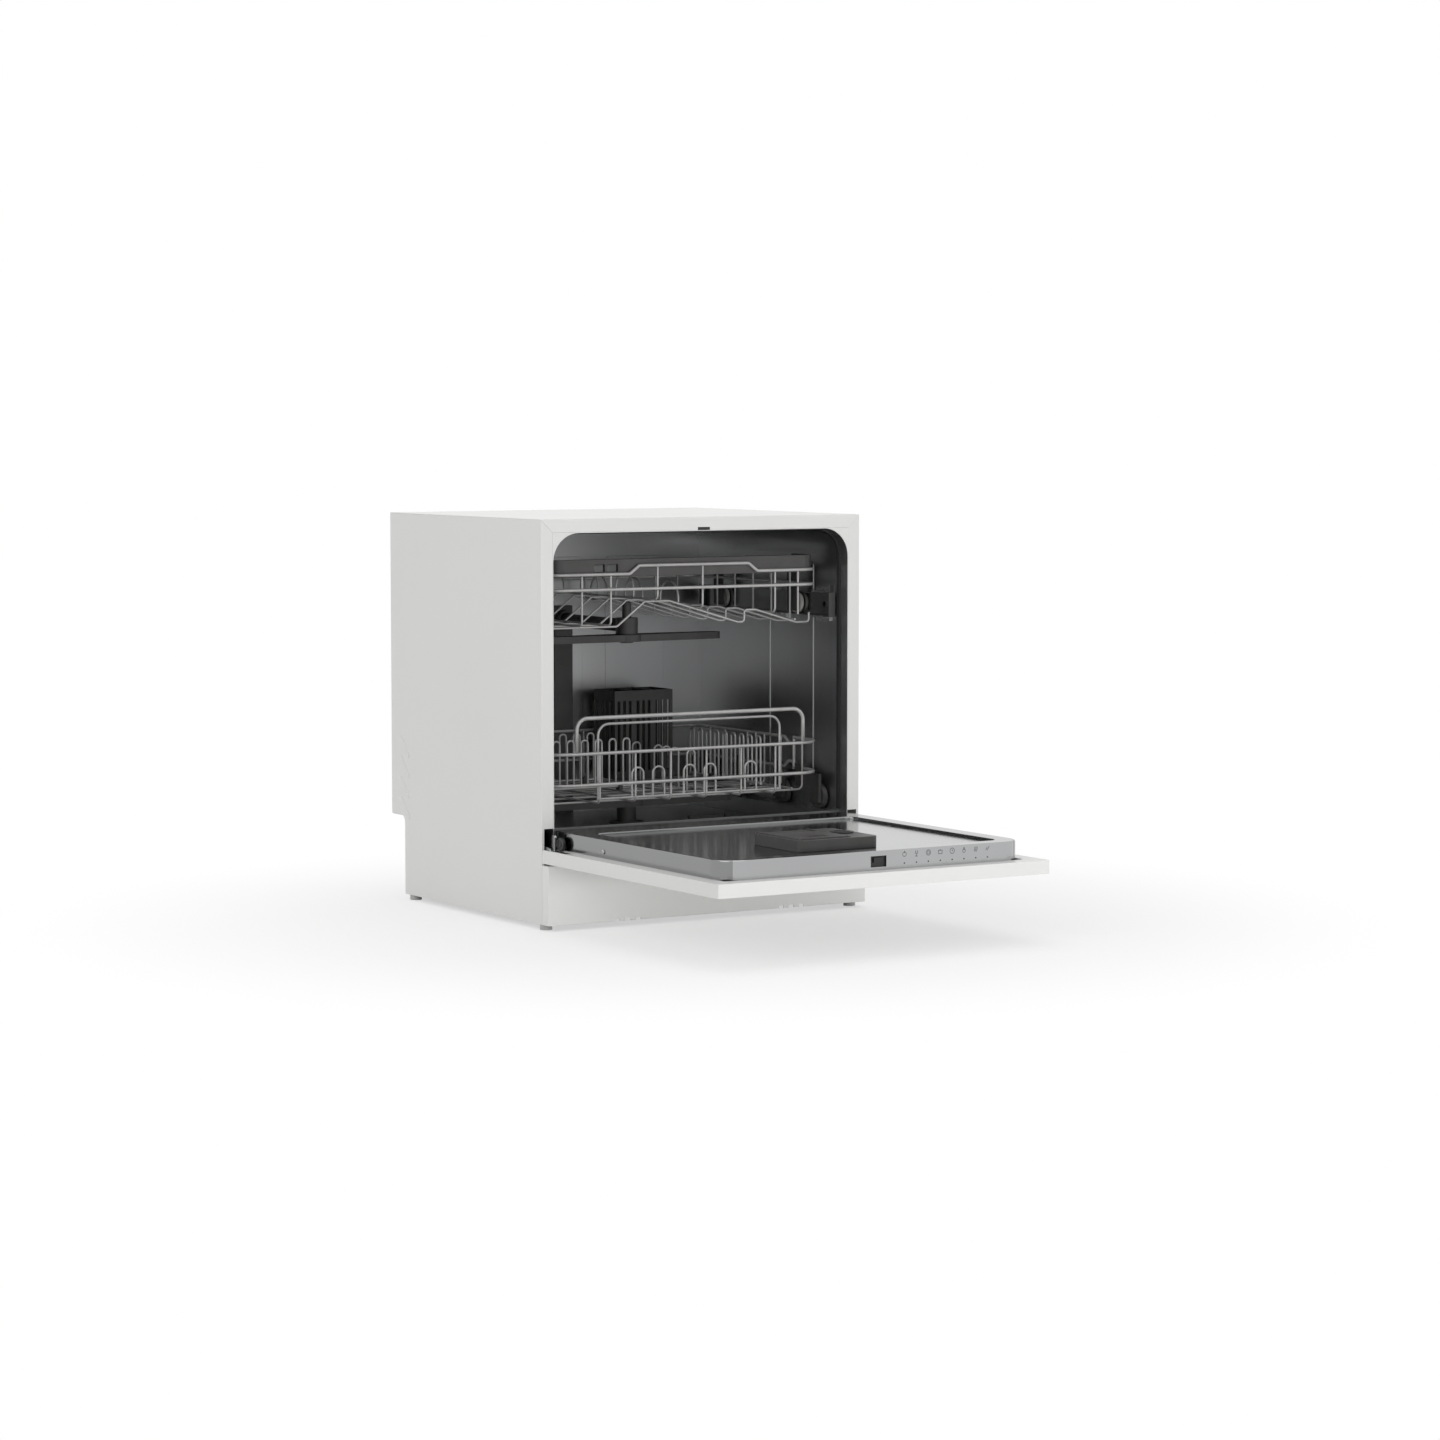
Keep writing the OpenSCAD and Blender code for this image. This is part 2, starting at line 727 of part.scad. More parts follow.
module door_liner() {
    s = door_sheet;
    top = liner_z - s;
    color(steel) difference() {
        translate([0, 0, panel_in]) linear_extrude(liner_h) liner_outline(0);
        difference() {
            translate([0, 0, panel_in - 1]) linear_extrude(liner_h - s + 1) liner_outline(s);
            field_block(s, liner_z - liner_field - s, liner_z + 1);
        }
        field_block(0, liner_z - liner_field, liner_z + 1);
        // opening for the lock
        block([-latch_w / 2, liner_front - 1, latch_z0], [latch_w / 2, liner_front + 2, latch_z0 + latch_h]);
    }
}

// The pressed field in the liner, grown by g
module field_block(g, z0, z1) {
    translate([0, 0, z0]) linear_extrude(z1 - z0)
        round_rect([-liner_x + 29 - g, liner_front + 27 - g], [liner_x - 29 + g, liner_back - 61 + g], 14 + g);
}

module hinge_arms() {
    color(dark_steel) both_sides() in_yz(-arm_x - arm_t) linear_extrude(arm_t) difference() {
        union() {
            translate([hinge_y, hinge_z]) circle(r = 9);
            translate([hinge_y - 145, panel_out + door_sheet]) square([137, 13]);
            translate([hinge_y - 30, panel_out + door_sheet]) square([27, 17]);
            // horn that leads into the cabinet as the door shuts
            translate([hinge_y - 13, hinge_z]) square([9, 22]);
            translate([hinge_y - 8.5, hinge_z + 22]) circle(r = 4.5);
        }
        translate([hinge_y, hinge_z]) circle(r = pin_r + 0.05);
    }
}

module control_unit() {
    y = liner_front + door_sheet;
    color(black) {
        block([28, y, panel_in + 2], [200, y + 3, panel_in + 23]);
        block([36, y + 3, panel_in + 4], [192, y + 12, panel_in + 21]);
    }
}

tongue_hw = 7.5;
tongue_z = [panel_in + 10.8, panel_in + 17.8];
tongue_travel = 5;

module latch_housing() {
    y = liner_front + door_sheet;
    g = hair;
    color(black) difference() {
        block([-22, y, panel_in + 1.4], [22, y + 34, liner_z - liner_field - 2]);
        block([-latch_w / 2, y - 1, latch_z0], [latch_w / 2, y + 2, latch_z0 + latch_h]);
        block([-tongue_hw - g, y - 1, tongue_z[0] - g], [tongue_hw + g, y + 31, tongue_z[1] + g]);
    }
}

module latch_tongue() {
    y = liner_front + 0.6;
    color(pale) {
        block([-tongue_hw, y, tongue_z[0]], [tongue_hw, y + 28, tongue_z[1]]);
    }
}

disp_x = -21;
disp_y = liner_front + 67;
disp_z = liner_z - liner_field;
disp_top = liner_z + dispenser_h;
lid_gap = 1.7;
lid_x = [disp_x - dispenser_w / 2 + 8, disp_x + 19];
lid_y = [disp_y + 8, disp_y + 84];
cap_x = disp_x + 44;
cap_y = disp_y + 60;
cap_r = 17;

module dispenser_body() {
    x0 = disp_x - dispenser_w / 2;
    x1 = disp_x + dispenser_w / 2;
    deck = disp_top - lid_gap - hair;
    color(plastic) difference() {
        union() {
            translate([0, 0, disp_z]) linear_extrude(deck - disp_z)
                round_rect([x0, disp_y], [x1, disp_y + dispenser_l], 10);
            // runners beside the lid
            for (x = [lid_x[0] - 4, lid_x[1] + hair])
                block([x, disp_y + 6, deck], [x + 3.7, disp_y + dispenser_l - 6, disp_top]);
        }
        // detergent cup
        translate([0, 0, disp_z + 2]) linear_extrude(20)
            round_rect([lid_x[0] + 7, lid_y[0] + 6], [lid_x[1] - 7, lid_y[1] - 8], 8);
        rod_z(cap_x, cap_y, disp_z + 2, disp_top, 2 * (8 + 0.05));
    }
}

module dispenser_lid() {
    z = disp_top - lid_gap;
    color(pale) difference() {
        block([lid_x[0], lid_y[0], z], [lid_x[1], lid_y[1], disp_top]);
        // finger grooves
        for (i = [0:3]) block([lid_x[0] + 22, lid_y[0] + 12 + i * 5, disp_top - 0.6],
            [lid_x[1] - 22, lid_y[0] + 14 + i * 5, disp_top + 1]);
    }
}

module rinse_cap() {
    z = disp_top - lid_gap;
    color(black) difference() {
        union() {
            rod_z(cap_x, cap_y, z, disp_top, 2 * cap_r);
            rod_z(cap_x, cap_y, disp_z + 2.4, z, 16);
        }
        // grip recesses on both sides of a bar
        for (s = [-1, 1]) translate([cap_x, cap_y + s * 7, disp_top - 1.1]) linear_extrude(2)
            round_rect([-10, -3.4], [10, 3.4], 3);
    }
}

// ---------------------------------------------------------------- upper rails

module rails() {
    color(steel) both_sides() difference() {
        block([-rail_web, rail_y[0], rail_z - rail_h / 2], [-rail_web + rail_deep, rail_y[1], rail_z + rail_h / 2]);
        block([-rail_web + rail_t, rail_y[0] - 1, rail_z - rail_h / 2 + rail_t],
            [-rail_web + rail_deep + 1, rail_y[1] + 1, rail_z + rail_h / 2 - rail_t]);
        rod_x(rail_y[0] + 26, rail_z, -rail_web - 1, -rail_web + 3, 8);
    }
}

module rail_ends() {
    color(plastic) both_sides() {
        difference() {
            block([-rail_web - 0.8, rail_y[0] - 2, rail_z - rail_h / 2 - 1.2],
                [-rail_web + rail_deep + 0.8, rail_y[0] + 14, rail_z + rail_h / 2 + 1.2]);
            block([-rail_web, rail_y[0], rail_z - rail_h / 2],
                [-rail_web + rail_deep + 2, rail_y[0] + 16, rail_z + rail_h / 2]);
        }
        // upright tab
        block([-rail_web - 0.8, rail_y[0] - 2, rail_z + rail_h / 2 + 1.2], [-rail_web + 2, rail_y[0] + 8, rail_z + rail_h / 2 + 13]);
        // rear stop
        block([-rail_web + rail_t, rail_y[1] - 4, rail_z - rail_h / 2 + rail_t],
            [-rail_web + rail_deep, rail_y[1], rail_z + rail_h / 2 - rail_t]);
    }
}

// ---------------------------------------------------------------- upper basket

// Height of the stepped floor across the basket
floor_line = [[-110, upper_floor], [-62, upper_floor + 36], [-20, upper_floor + 36],
    [100, upper_floor + 1], [112, upper_floor + 1], [112, upper_floor + 19], [132, upper_floor + 19],
    [204, upper_floor - 2]];
// The same line as a table, which needs a rising x
floor_table = [for (i = [0:7]) floor_line[i] + [i == 5 ? 0.001 : 0, 0]];
upper_knee = upper_floor + 12;
upper_in = upper_hw - inset;

// One corner of a rail that runs around the basket
module rail_corner(x, y, z, r, from) {
    translate([x, y, z]) rotate([0, 0, from]) rotate_extrude(angle = 90) translate([r, 0]) circle(d = rail_d);
}

module upper_front_wires() {
    y = upper_front;
    yi = y + inset;
    x = upper_hw - upper_r;
    color(wire_grey) {
        in_xz(y) wire_path([[-x, upper_top], [bump[0] - 8, upper_top], [bump[0] + 8, upper_top + bump_h],
            [bump[1] - 8, upper_top + bump_h], [bump[1] + 8, upper_top], [x, upper_top]], 6, rail_d);
        rod_x(y, upper_mid, -x, x, rail_d);
        for (z = [upper_mid, upper_top]) {
            rail_corner(-x, y + upper_r, z, upper_r, 180);
            rail_corner(x, y + upper_r, z, upper_r, 270);
        }
        for (px = upper_posts) {
            zf = lookup(px, floor_table) + cross;
            top = px > bump[0] && px < bump[1] ? upper_top + bump_h : upper_top;
            in_yz(px) wire_path([[yi, top], [yi, zf], [yi + 10, zf]], 8, wire_d);
        }
    }
}

module upper_rear_wires() {
    y = upper_back;
    yi = y - inset;
    x = upper_hw - upper_r;
    color(wire_grey) {
        for (z = [upper_mid, upper_top]) {
            rod_x(y, z, -x, x, rail_d);
            rail_corner(-x, y - upper_r, z, upper_r, 90);
            rail_corner(x, y - upper_r, z, upper_r, 0);
        }
        for (px = upper_posts) {
            zf = lookup(px, floor_table) + cross;
            in_yz(px) wire_path([[yi, upper_top], [yi, zf], [yi - 10, zf]], 8, wire_d);
        }
    }
}

module upper_side_wires() {
    color(wire_grey) both_sides() {
        for (z = [upper_mid, upper_top])
            rod_y(-upper_hw, z, upper_front + upper_r, upper_back - upper_r, rail_d);
        for (y = upper_hoops) if (y > upper_front + upper_r && y < upper_back - upper_r)
            rod_z(-upper_in, y, upper_knee, upper_top, wire_d);
    }
}

module upper_floor_wires() {
    color(wire_grey) {
        for (y = upper_hoops) in_xz(y) wire_path(concat([[-upper_in, upper_knee], [-upper_in, upper_floor]],
            floor_line, [[upper_in, upper_floor - 2], [upper_in, upper_knee]]),
            [0, 8, 6, 6, 7, 7, 5, 5, 7, 7, 5, 0], wire_d);
        for (px = upper_posts)
            rod_y(px, lookup(px, floor_table) + cross, upper_front + inset + 10, upper_back - inset - 10, wire_d);
        // low loops that keep glasses upright
        for (x = [upper_posts[2], upper_posts[3]], i = [1:2:5]) in_yz(x)
            translate([upper_hoops[i], lookup(x, floor_table) + cross + stand])
            hairpin(hoop_pitch, 36, wire_d);
    }
}

handle_t = 4.4;
handle_z = [upper_top - 4, upper_top + 22];
handle_back = 108;

// The handle's outline from above, grown by g from the rail's outer face
module handle_outline(g, back) {
    w = upper_hw + rail_d / 2 + 0.1 + g;
    r = upper_r + rail_d / 2 + 0.1 + g;
    y0 = upper_front - rail_d / 2 - 0.1 - g;
    translate([0, back]) mirror([0, 1]) arch(2 * w, 0, back - y0, r);
}

module upper_handle() {
    y = upper_front - rail_d / 2 - 0.1;
    color(plastic) {
        difference() {
            translate([0, 0, handle_z[0]]) linear_extrude(handle_z[1] - handle_z[0]) difference() {
                handle_outline(handle_t, handle_back);
                handle_outline(0, handle_back + 1);
            }
            // windows on both sides of the plain middle
            for (x0 = [-212, -172, 132, 172]) block([x0, y - 8, upper_top + 3.4], [x0 + 34, y + 2, upper_top + 17]);
            // the ends run down to a slim tail
            both_sides() block([-upper_hw - 12, handle_back - 26, upper_top + 9],
                [-upper_hw + 4, handle_back + 5, upper_top + 30]);
        }
        // lip under which the fingers pull
        block([-104, y - handle_t - 3, handle_z[1] - 3], [104, y + 8, handle_z[1]]);
        // clips around the rail
        difference() {
            for (x = [-196, -150, 138, 190]) block([x - 5, y - 0.5, upper_top - 4], [x + 5, y + 7, upper_top + 3.4]);
            rod_x(upper_front, upper_top, -220, 220, rail_d);
        }
        difference() {
            for (x = [-70, 90]) block([x - 5, y - 0.5, upper_top + bump_h - 4], [x + 5, y + 7, upper_top + bump_h + 3.4]);
            rod_x(upper_front, upper_top + bump_h, -85, 105, rail_d);
        }
    }
}

roller_x = [rail_web - rail_deep + 2.5, rail_web - rail_t - 1.6];

module roller_brackets() {
    x = upper_hw + rail_d / 2;
    color(plastic) both_sides() for (y = roller_y) {
        difference() {
            union() {
                block([-x - 2.4, y - 13, rail_z - 12], [-x, y + 13, upper_top + 6]);
                for (z = [upper_mid, upper_top]) block([-x, y - 9, z - 4.6], [-upper_hw, y + 9, z + 4.6]);
            }
            for (z = [upper_mid, upper_top]) rod_y(-upper_hw, z, y - 14, y + 14, rail_d);
            // slot beside any upright that stands here
            for (h = upper_hoops) rod_z(-upper_in, h, upper_knee, upper_top + 8, wire_d + 1);
        }
        rod_x(y, rail_z, -roller_x[1] - 0.5, -x - 2.4, 6);
        rod_x(y, rail_z, -roller_x[1] - 1, -roller_x[1] - 0.4, 12);
    }
}

module roller(y) {
    color(pale) both_sides() difference() {
        rod_x(y, rail_z, -roller_x[1], -roller_x[0], 2 * roller_r);
        rod_x(y, rail_z, -roller_x[1] - 1, -roller_x[0] + 1, 6.1);
        // dished face
        difference() {
            rod_x(y, rail_z, -roller_x[0] - 1.2, -roller_x[0] + 1, 2 * roller_r - 6);
            rod_x(y, rail_z, -roller_x[0] - 2, -roller_x[0] + 2, 14);
        }
    }
}

module front_rollers() {
    roller(roller_y[0]);
}

module rear_rollers() {
    roller(roller_y[1]);
}

module upper_feed_tube() {
    color(plastic) difference() {
        union() {
            rod_y(0, feed_z, arm_c, duct_y - 6, 2 * feed_r);
            rod_z(0, arm_c, feed_z - feed_r - 3, feed_z + feed_r + 2, 2 * 17);
            rod_z(0, arm_c, feed_z + feed_r + 2, upper_floor + 26, 2 * 7);
            rod_z(0, arm_c, feed_z - feed_r - 14.4, feed_z - feed_r - 3, 12);
            rod_z(0, arm_c, feed_z - feed_r - 16.4, feed_z - feed_r - 14.4, 20);
        }
        rod_y(0, feed_z, arm_c + 20, duct_y - 5, 2 * (feed_r - 1.6));
    }
}

// A two-armed sprayer seen from above, with a bore in the hub
module spray_plan(reach, root, tip, hub, bore) {
    difference() {
        union() {
            circle(r = hub);
            polygon([[-reach + tip, -tip], [0, -root], [reach - tip, -tip],
                [reach - tip, tip], [0, root], [-reach + tip, tip]]);
            for (s = [-1, 1]) translate([s * (reach - tip), 0]) circle(r = tip);
        }
        circle(r = bore);
    }
}

module spray_arm(x, y, z, h, reach, root, tip, hub, bore) {
    translate([x, y, z]) difference() {
        linear_extrude(h) spray_plan(reach, root, tip, hub, bore);
        for (s = [-1, 1], k = [0.25, 0.42, 0.6, 0.78, 0.93])
            translate([s * reach * k, s * 3, h - 2]) cylinder(d = 4, h = 3);
    }
}

module upper_spray_arm() {
    color(plastic) spray_arm(0, arm_c, feed_z - feed_r - 14, 10.6, upper_arm_r, 20, 12, 24, 6.05);
}

module lower_spray_arm() {
    color(plastic) spray_arm(0, lower_c, 147.9, 12.1, lower_arm_r, 24, 14, 28, 9.05);
}

// ---------------------------------------------------------------- lower basket

lower_in = lower_hw - inset;
lower_long = lower_floor + cross;
lower_knee = lower_floor + 14;
rest_z = lower_long + wire_d / 2;
stand = wire_d / 2 - weld;

module lower_front_wires() {
    y0 = lower_front;
    y1 = lower_front + front_arm;
    yi = y0 + inset;
    color(wire_grey) {
        for (z = [lower_mid, lower_top]) translate([0, 0, z]) wire_path([[-lower_hw, y1], [-lower_hw, y0],
            [lower_hw, y0], [lower_hw, y1]], lower_r, rail_d);
        for (s = [-1, 1]) {
            rod_z(s * lower_hw, y1, lower_mid - rail_d / 2, lower_top + rail_d / 2, rail_d);
            rod_z(s * lower_in, lower_hoops[0], lower_knee, lower_top, wire_d);
        }
        for (px = lower_posts) if (abs(px) < lower_hw - lower_r)
            in_yz(px) wire_path([[yi, lower_top], [yi, lower_long], [yi + 10, lower_long]], 8, wire_d);
    }
}

module lower_rear_wires() {
    y0 = lower_back - lower_back_r;
    yi = lower_back - inset;
    color(wire_grey) {
        for (z = [lower_mid, lower_top]) translate([0, 0, z]) wire_path([[-lower_hw, y0],
            [-lower_hw, lower_back], [lower_hw, lower_back], [lower_hw, y0]], lower_back_r - 0.01, rail_d);
        for (px = lower_posts) if (abs(px) < lower_hw - lower_r)
            in_yz(px) wire_path([[yi, lower_top], [yi, lower_long], [yi - 10, lower_long]], 8, wire_d);
    }
}

module lower_side_wires() {
    y0 = lower_front + front_arm + rail_d / 2;
    y1 = lower_back - lower_back_r;
    color(wire_grey) both_sides() {
        in_yz(-lower_hw) {
            // both rails step towards the front panel's post
            for (s = [-1, 1]) {
                z = s > 0 ? lower_top : lower_mid;
                wire_path([[y0, z - 9 * s], [y0 + 12, z - 9 * s], [y0 + 24, z], [y1, z]], 6, rail_d);
            }
        }
        for (y = lower_hoops) if (y > y0)
            rod_z(-lower_in, y, lower_knee, lower_top, wire_d);
    }
}

module lower_floor_wires() {
    color(wire_grey) {
        for (y = lower_hoops) in_xz(y) wire_path([[-lower_in, lower_knee], [-lower_in, lower_floor],
            [lower_in, lower_floor], [lower_in, lower_knee]], 8, wire_d);
        for (px = lower_posts) if (abs(px) < lower_hw - lower_r)
            rod_y(px, lower_long, lower_front + inset + 10, lower_back - inset - 10, wire_d);
        for (px = lower_posts) if (abs(px) > lower_hw - lower_r)
            rod_y(px, lower_long, lower_hoops[0] - 6, lower_hoops[6] + 6, wire_d);
        // fixed plate fingers on the right
        for (y = [lower_hoops[1], lower_hoops[2], lower_hoops[3], lower_hoops[4], lower_hoops[5]]) in_xz(y)
            translate([66, lower_floor + stand]) hairpin(14, 62, wire_d);
    }
}

module plate_guards() {
    d = 6;
    y = lower_front;
    z = lower_top + rail_d / 2;
    color(wire_grey) {
        in_xz(y) wire_path([[-155, z], [-155, z + 50], [200, z + 50], [200, z]], 18, d);
        // second loop and a looped row, on a rod that lies on the floor wires
        in_xz(y + 28) wire_path([[-122, rest_z + 2], [-122, z + 38], [176, z + 38], [176, rest_z + 2]], 18, 4);
        in_xz(y + 28) rod_floor(-124, 178, rest_z + 2);
        for (x = [-84, -48, 6, 42, 114]) in_xz(y + 28) translate([x, rest_z + 2]) hairpin(20, 44, wire_d);
    }
}

// A straight wire along the plane's x
module rod_floor(x0, x1, y) {
    translate([x0, y, 0]) rotate([0, 90, 0]) cylinder(d = 4, h = x1 - x0);
}

rack_count = 9;
loop_w = 11.6;
rack_l = (rack_count - 1) * tine_pitch + loop_w + 2.4;
// Clips sit midway between two loops, on a floor wire
clip_at = 1.2 + (loop_w + tine_pitch) / 2;
rack_x0 = lower_posts[1] - clip_at - 2 * tine_pitch;
rack_y = [196, 306];
side_rack_x = 172;
side_rack_y0 = lower_hoops[1] - clip_at - tine_pitch;

// A row of folding fingers: a rod with loops standing on it, laid along the plane's x
module tine_row() {
    rotate([0, 90, 0]) cylinder(d = tine_rod, h = rack_l);
    for (i = [0 : rack_count - 1]) translate([1.2 + i * tine_pitch, 0]) hairpin(loop_w, tine_h, wire_d);
}

module front_tine_rack() {
    color(wire_grey) translate([rack_x0, 0, tine_z]) in_xz(rack_y[0]) tine_row();
}

module rear_tine_rack() {
    color(wire_grey) translate([rack_x0, 0, tine_z]) in_xz(rack_y[1]) tine_row();
}

module right_tine_rack() {
    color(wire_grey) translate([0, side_rack_y0, tine_z]) in_yz(side_rack_x) tine_row();
}

// Clip that holds a rack's rod, standing on the floor wires at z
module rod_clip_x(x, y, z) {
    difference() {
        block([x - 3, y - 5, z], [x + 3, y + 5, tine_z + 4.6]);
        rod_x(y, tine_z, x - 4, x + 4, tine_rod + 0.12);
    }
}

module wheel_clips() {
    z1 = lower_mid - 5;
    clip_x = lower_in + wire_d / 2 + 0.1;
    color(plastic) {
        both_sides() for (i = [0:3]) {
            y = wheel_y[i];
            y0 = i == 0 ? lower_hoops[0] + 5 : y - 8;
            y1 = i == 0 ? y0 + 16 : y + 8;
            difference() {
                union() {
                    block([-wheel_x0 + 0.5, y - 13, wheel_z - 9], [-clip_x, y + 13, z1]);
                    block([-wheel_x0 + 0.5, y - 13, z1 - 22], [-clip_x, max(y1, y + 13), z1]);
                    block([-wheel_x0 + 0.5, y0, z1], [-lower_hw + 3.4, y1, z1 + 12]);
                }
                rod_y(-lower_hw, lower_mid, y0 - 1, y1 + 1, rail_d);
            }
            rod_x(y, wheel_z, -wheel_x1 - 0.3, -wheel_x0 + 0.5, 2 * axle_r);
            rod_x(y, wheel_z, -wheel_x1 - 0.7, -wheel_x1 - 0.3, 2 * axle_r + 4);
        }
        for (y = rack_y, x = [lower_posts[1], lower_posts[3]]) rod_clip_x(x, y, rest_z);
        for (y = [lower_hoops[1], lower_hoops[4]]) translate([side_rack_x, y, 0]) rotate([0, 0, 90])
            rod_clip_x(0, 0, lower_floor + wire_d / 2);
    }
}

module wheel(i) {
    y = wheel_y[i];
    color(plastic) both_sides() difference() {
        rod_x(y, wheel_z, -wheel_x1, -wheel_x0, wheel_d);
        rod_x(y, wheel_z, -wheel_x1 - 1, -wheel_x0 + 1, 2 * axle_r + 0.1);
        // dished outer face with five windows
        difference() {
            rod_x(y, wheel_z, -wheel_x1 - 1, -wheel_x1 + 2.4, wheel_d - 7);
            rod_x(y, wheel_z, -wheel_x1 - 2, -wheel_x1 + 3, 2 * axle_r + 5);
        }
    }
}

module front_wheels() {
    wheel(0);
}

module second_wheels() {
    wheel(1);
}

module third_wheels() {
    wheel(2);
}

module rear_wheels() {
    wheel(3);
}

module cutlery_basket() {
    x0 = 45;
    x1 = 150;
    y0 = 340;
    y1 = lower_back - inset - hoop_r - hair;
    z1 = rest_z + 138;
    color(plastic) difference() {
        block([x0, y0, rest_z], [x1, y1, z1]);
        for (i = [0:2]) block([x0 + skin + i * 34.5, y0 + skin, rest_z + skin],
            [x0 + skin + 32 + i * 34.5, y1 - skin, z1 + 1]);
        // slots through the long walls
        for (i = [0:2], k = [0:2]) block([x0 + 5 + i * 34.5 + k * 10, y0 - 1, rest_z + 12],
            [x0 + 10 + i * 34.5 + k * 10, y1 + 1, z1 - 16]);
        for (k = [0:3]) block([x0 - 1, y0 + 9 + k * 15, rest_z + 12], [x1 + 1, y0 + 17 + k * 15, z1 - 16]);
    }
}

left_side_panel();
right_side_panel();
top_panel();
rear_panel();
front_collar();
base_tray();
plinth();
feet();
tub_shell();
tub_seal();
sump();
filter_plate();
filter_cylinder();
spray_hub();
lower_spray_arm();
feed_duct();
circulation_pump();
drain_pump();
inlet_valve();
drain_outlet();
cable_gland();
air_break();
latch_catch();
hinge_brackets();
rail_guides();
door_panel();
door_liner();
hinge_arms();
control_unit();
latch_housing();
latch_tongue();
dispenser_body();
dispenser_lid();
rinse_cap();
rails();
rail_ends();
upper_front_wires();
upper_side_wires();
upper_rear_wires();
upper_floor_wires();
upper_handle();
roller_brackets();
front_rollers();
rear_rollers();
upper_feed_tube();
upper_spray_arm();
lower_front_wires();
lower_side_wires();
lower_rear_wires();
lower_floor_wires();
plate_guards();
front_tine_rack();
rear_tine_rack();
right_tine_rack();
wheel_clips();
front_wheels();
second_wheels();
third_wheels();
rear_wheels();
cutlery_basket();
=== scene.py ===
"""Finishes, fixings and key symbols for a countertop dishwasher, with its stage."""

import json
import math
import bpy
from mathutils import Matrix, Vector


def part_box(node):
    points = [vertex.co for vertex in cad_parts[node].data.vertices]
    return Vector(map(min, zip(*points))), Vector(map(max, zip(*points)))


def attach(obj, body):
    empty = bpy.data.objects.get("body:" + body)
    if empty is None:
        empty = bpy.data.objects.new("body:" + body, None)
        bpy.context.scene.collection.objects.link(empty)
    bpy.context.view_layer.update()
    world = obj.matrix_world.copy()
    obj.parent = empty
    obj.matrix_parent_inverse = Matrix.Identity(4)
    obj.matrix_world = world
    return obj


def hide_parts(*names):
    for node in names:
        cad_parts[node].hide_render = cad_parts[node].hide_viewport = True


bl_info = {
    "name": "Countertop dishwasher finish",
    "version": (1, 0, 0),
    "blender": (4, 5, 0),
    "location": "View3D > Sidebar > Dishwasher",
    "description": "Dresses the dishwasher's parts with enamel, steel, coated wire and moulded plastic",
    "category": "Object",
}

import bpy
import bmesh
from mathutils import Vector

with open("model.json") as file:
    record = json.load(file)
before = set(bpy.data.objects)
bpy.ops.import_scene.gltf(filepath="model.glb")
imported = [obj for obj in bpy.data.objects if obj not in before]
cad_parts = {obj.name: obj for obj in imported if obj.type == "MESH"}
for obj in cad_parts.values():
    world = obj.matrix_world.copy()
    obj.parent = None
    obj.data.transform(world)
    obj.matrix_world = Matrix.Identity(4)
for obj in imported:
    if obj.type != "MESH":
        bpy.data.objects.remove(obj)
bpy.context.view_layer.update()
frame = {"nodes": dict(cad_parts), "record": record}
NODES = frame["nodes"]
BODY_OF = {node: body for body, nodes in frame["record"]["behaviour"]["bodies"].items() for node in nodes}

# ---------------------------------------------------------------- sizes and colours


class DishwasherSettings(bpy.types.PropertyGroup):
    """Sizes and colours that a user would change"""

    enamel: bpy.props.FloatVectorProperty(
        name="Enamel", description="Colour of the painted casing", subtype="COLOR", size=3,
        min=0, max=1, default=(0.76, 0.76, 0.745))
    steel: bpy.props.FloatVectorProperty(
        name="Steel", description="Colour of the tub and the door liner", subtype="COLOR", size=3,
        min=0, max=1, default=(0.56, 0.565, 0.57))
    wire: bpy.props.FloatVectorProperty(
        name="Wire coating", description="Colour of the baskets' coating", subtype="COLOR", size=3,
        min=0, max=1, default=(0.45, 0.445, 0.44))
    plastic: bpy.props.FloatVectorProperty(
        name="Plastic", description="Colour of the dark mouldings", subtype="COLOR", size=3,
        min=0, max=1, default=(0.052, 0.050, 0.049))
    key_pitch: bpy.props.FloatProperty(
        name="Key pitch", description="Distance from one key symbol to the next", subtype="DISTANCE",
        unit="LENGTH", default=0.0202, min=0.012, max=0.022)
    key_height: bpy.props.FloatProperty(
        name="Symbol height", description="Height of a key symbol", subtype="DISTANCE",
        unit="LENGTH", default=0.0086, min=0.004, max=0.011)
    lamp_d: bpy.props.FloatProperty(
        name="Lamp diameter", description="Diameter of the light below each key", subtype="DISTANCE",
        unit="LENGTH", default=0.0022, min=0.001, max=0.004)
    screw_d: bpy.props.FloatProperty(
        name="Screw head", description="Diameter of the screws' heads", subtype="DISTANCE",
        unit="LENGTH", default=0.0076, min=0.005, max=0.01)


def settings():
    return bpy.context.scene.dishwasher


# angle under which neighbouring faces are shaded as one
SMOOTH_ANGLE = math.radians(35)
# edges of a part that turn by less than this are never rounded
SHARP_ANGLE = math.radians(40)
# distance within which loose corners are one corner, in metres
WELD = 0.000002
# distance within which a corner lies on its part's box, in metres
ON_BOX = 0.0002

# ---------------------------------------------------------------- making


def mm(*values):
    """Millimetres to metres, as one number or a tuple."""
    metres = tuple(v / 1000 for v in values)
    return metres[0] if len(metres) == 1 else metres


def clear_selection():
    bpy.ops.object.select_all(action="DESELECT")


def take(piece):
    """Selects one piece alone and makes it the active one."""
    clear_selection()
    piece.select_set(True)
    bpy.context.view_layer.objects.active = piece


def begin(name):
    """Names the primitive just added, and opens it for editing with nothing selected."""
    piece = bpy.context.object
    piece.name = name
    piece.data.name = name
    bpy.ops.object.mode_set(mode="EDIT")
    bpy.ops.mesh.select_all(action="DESELECT")
    return piece


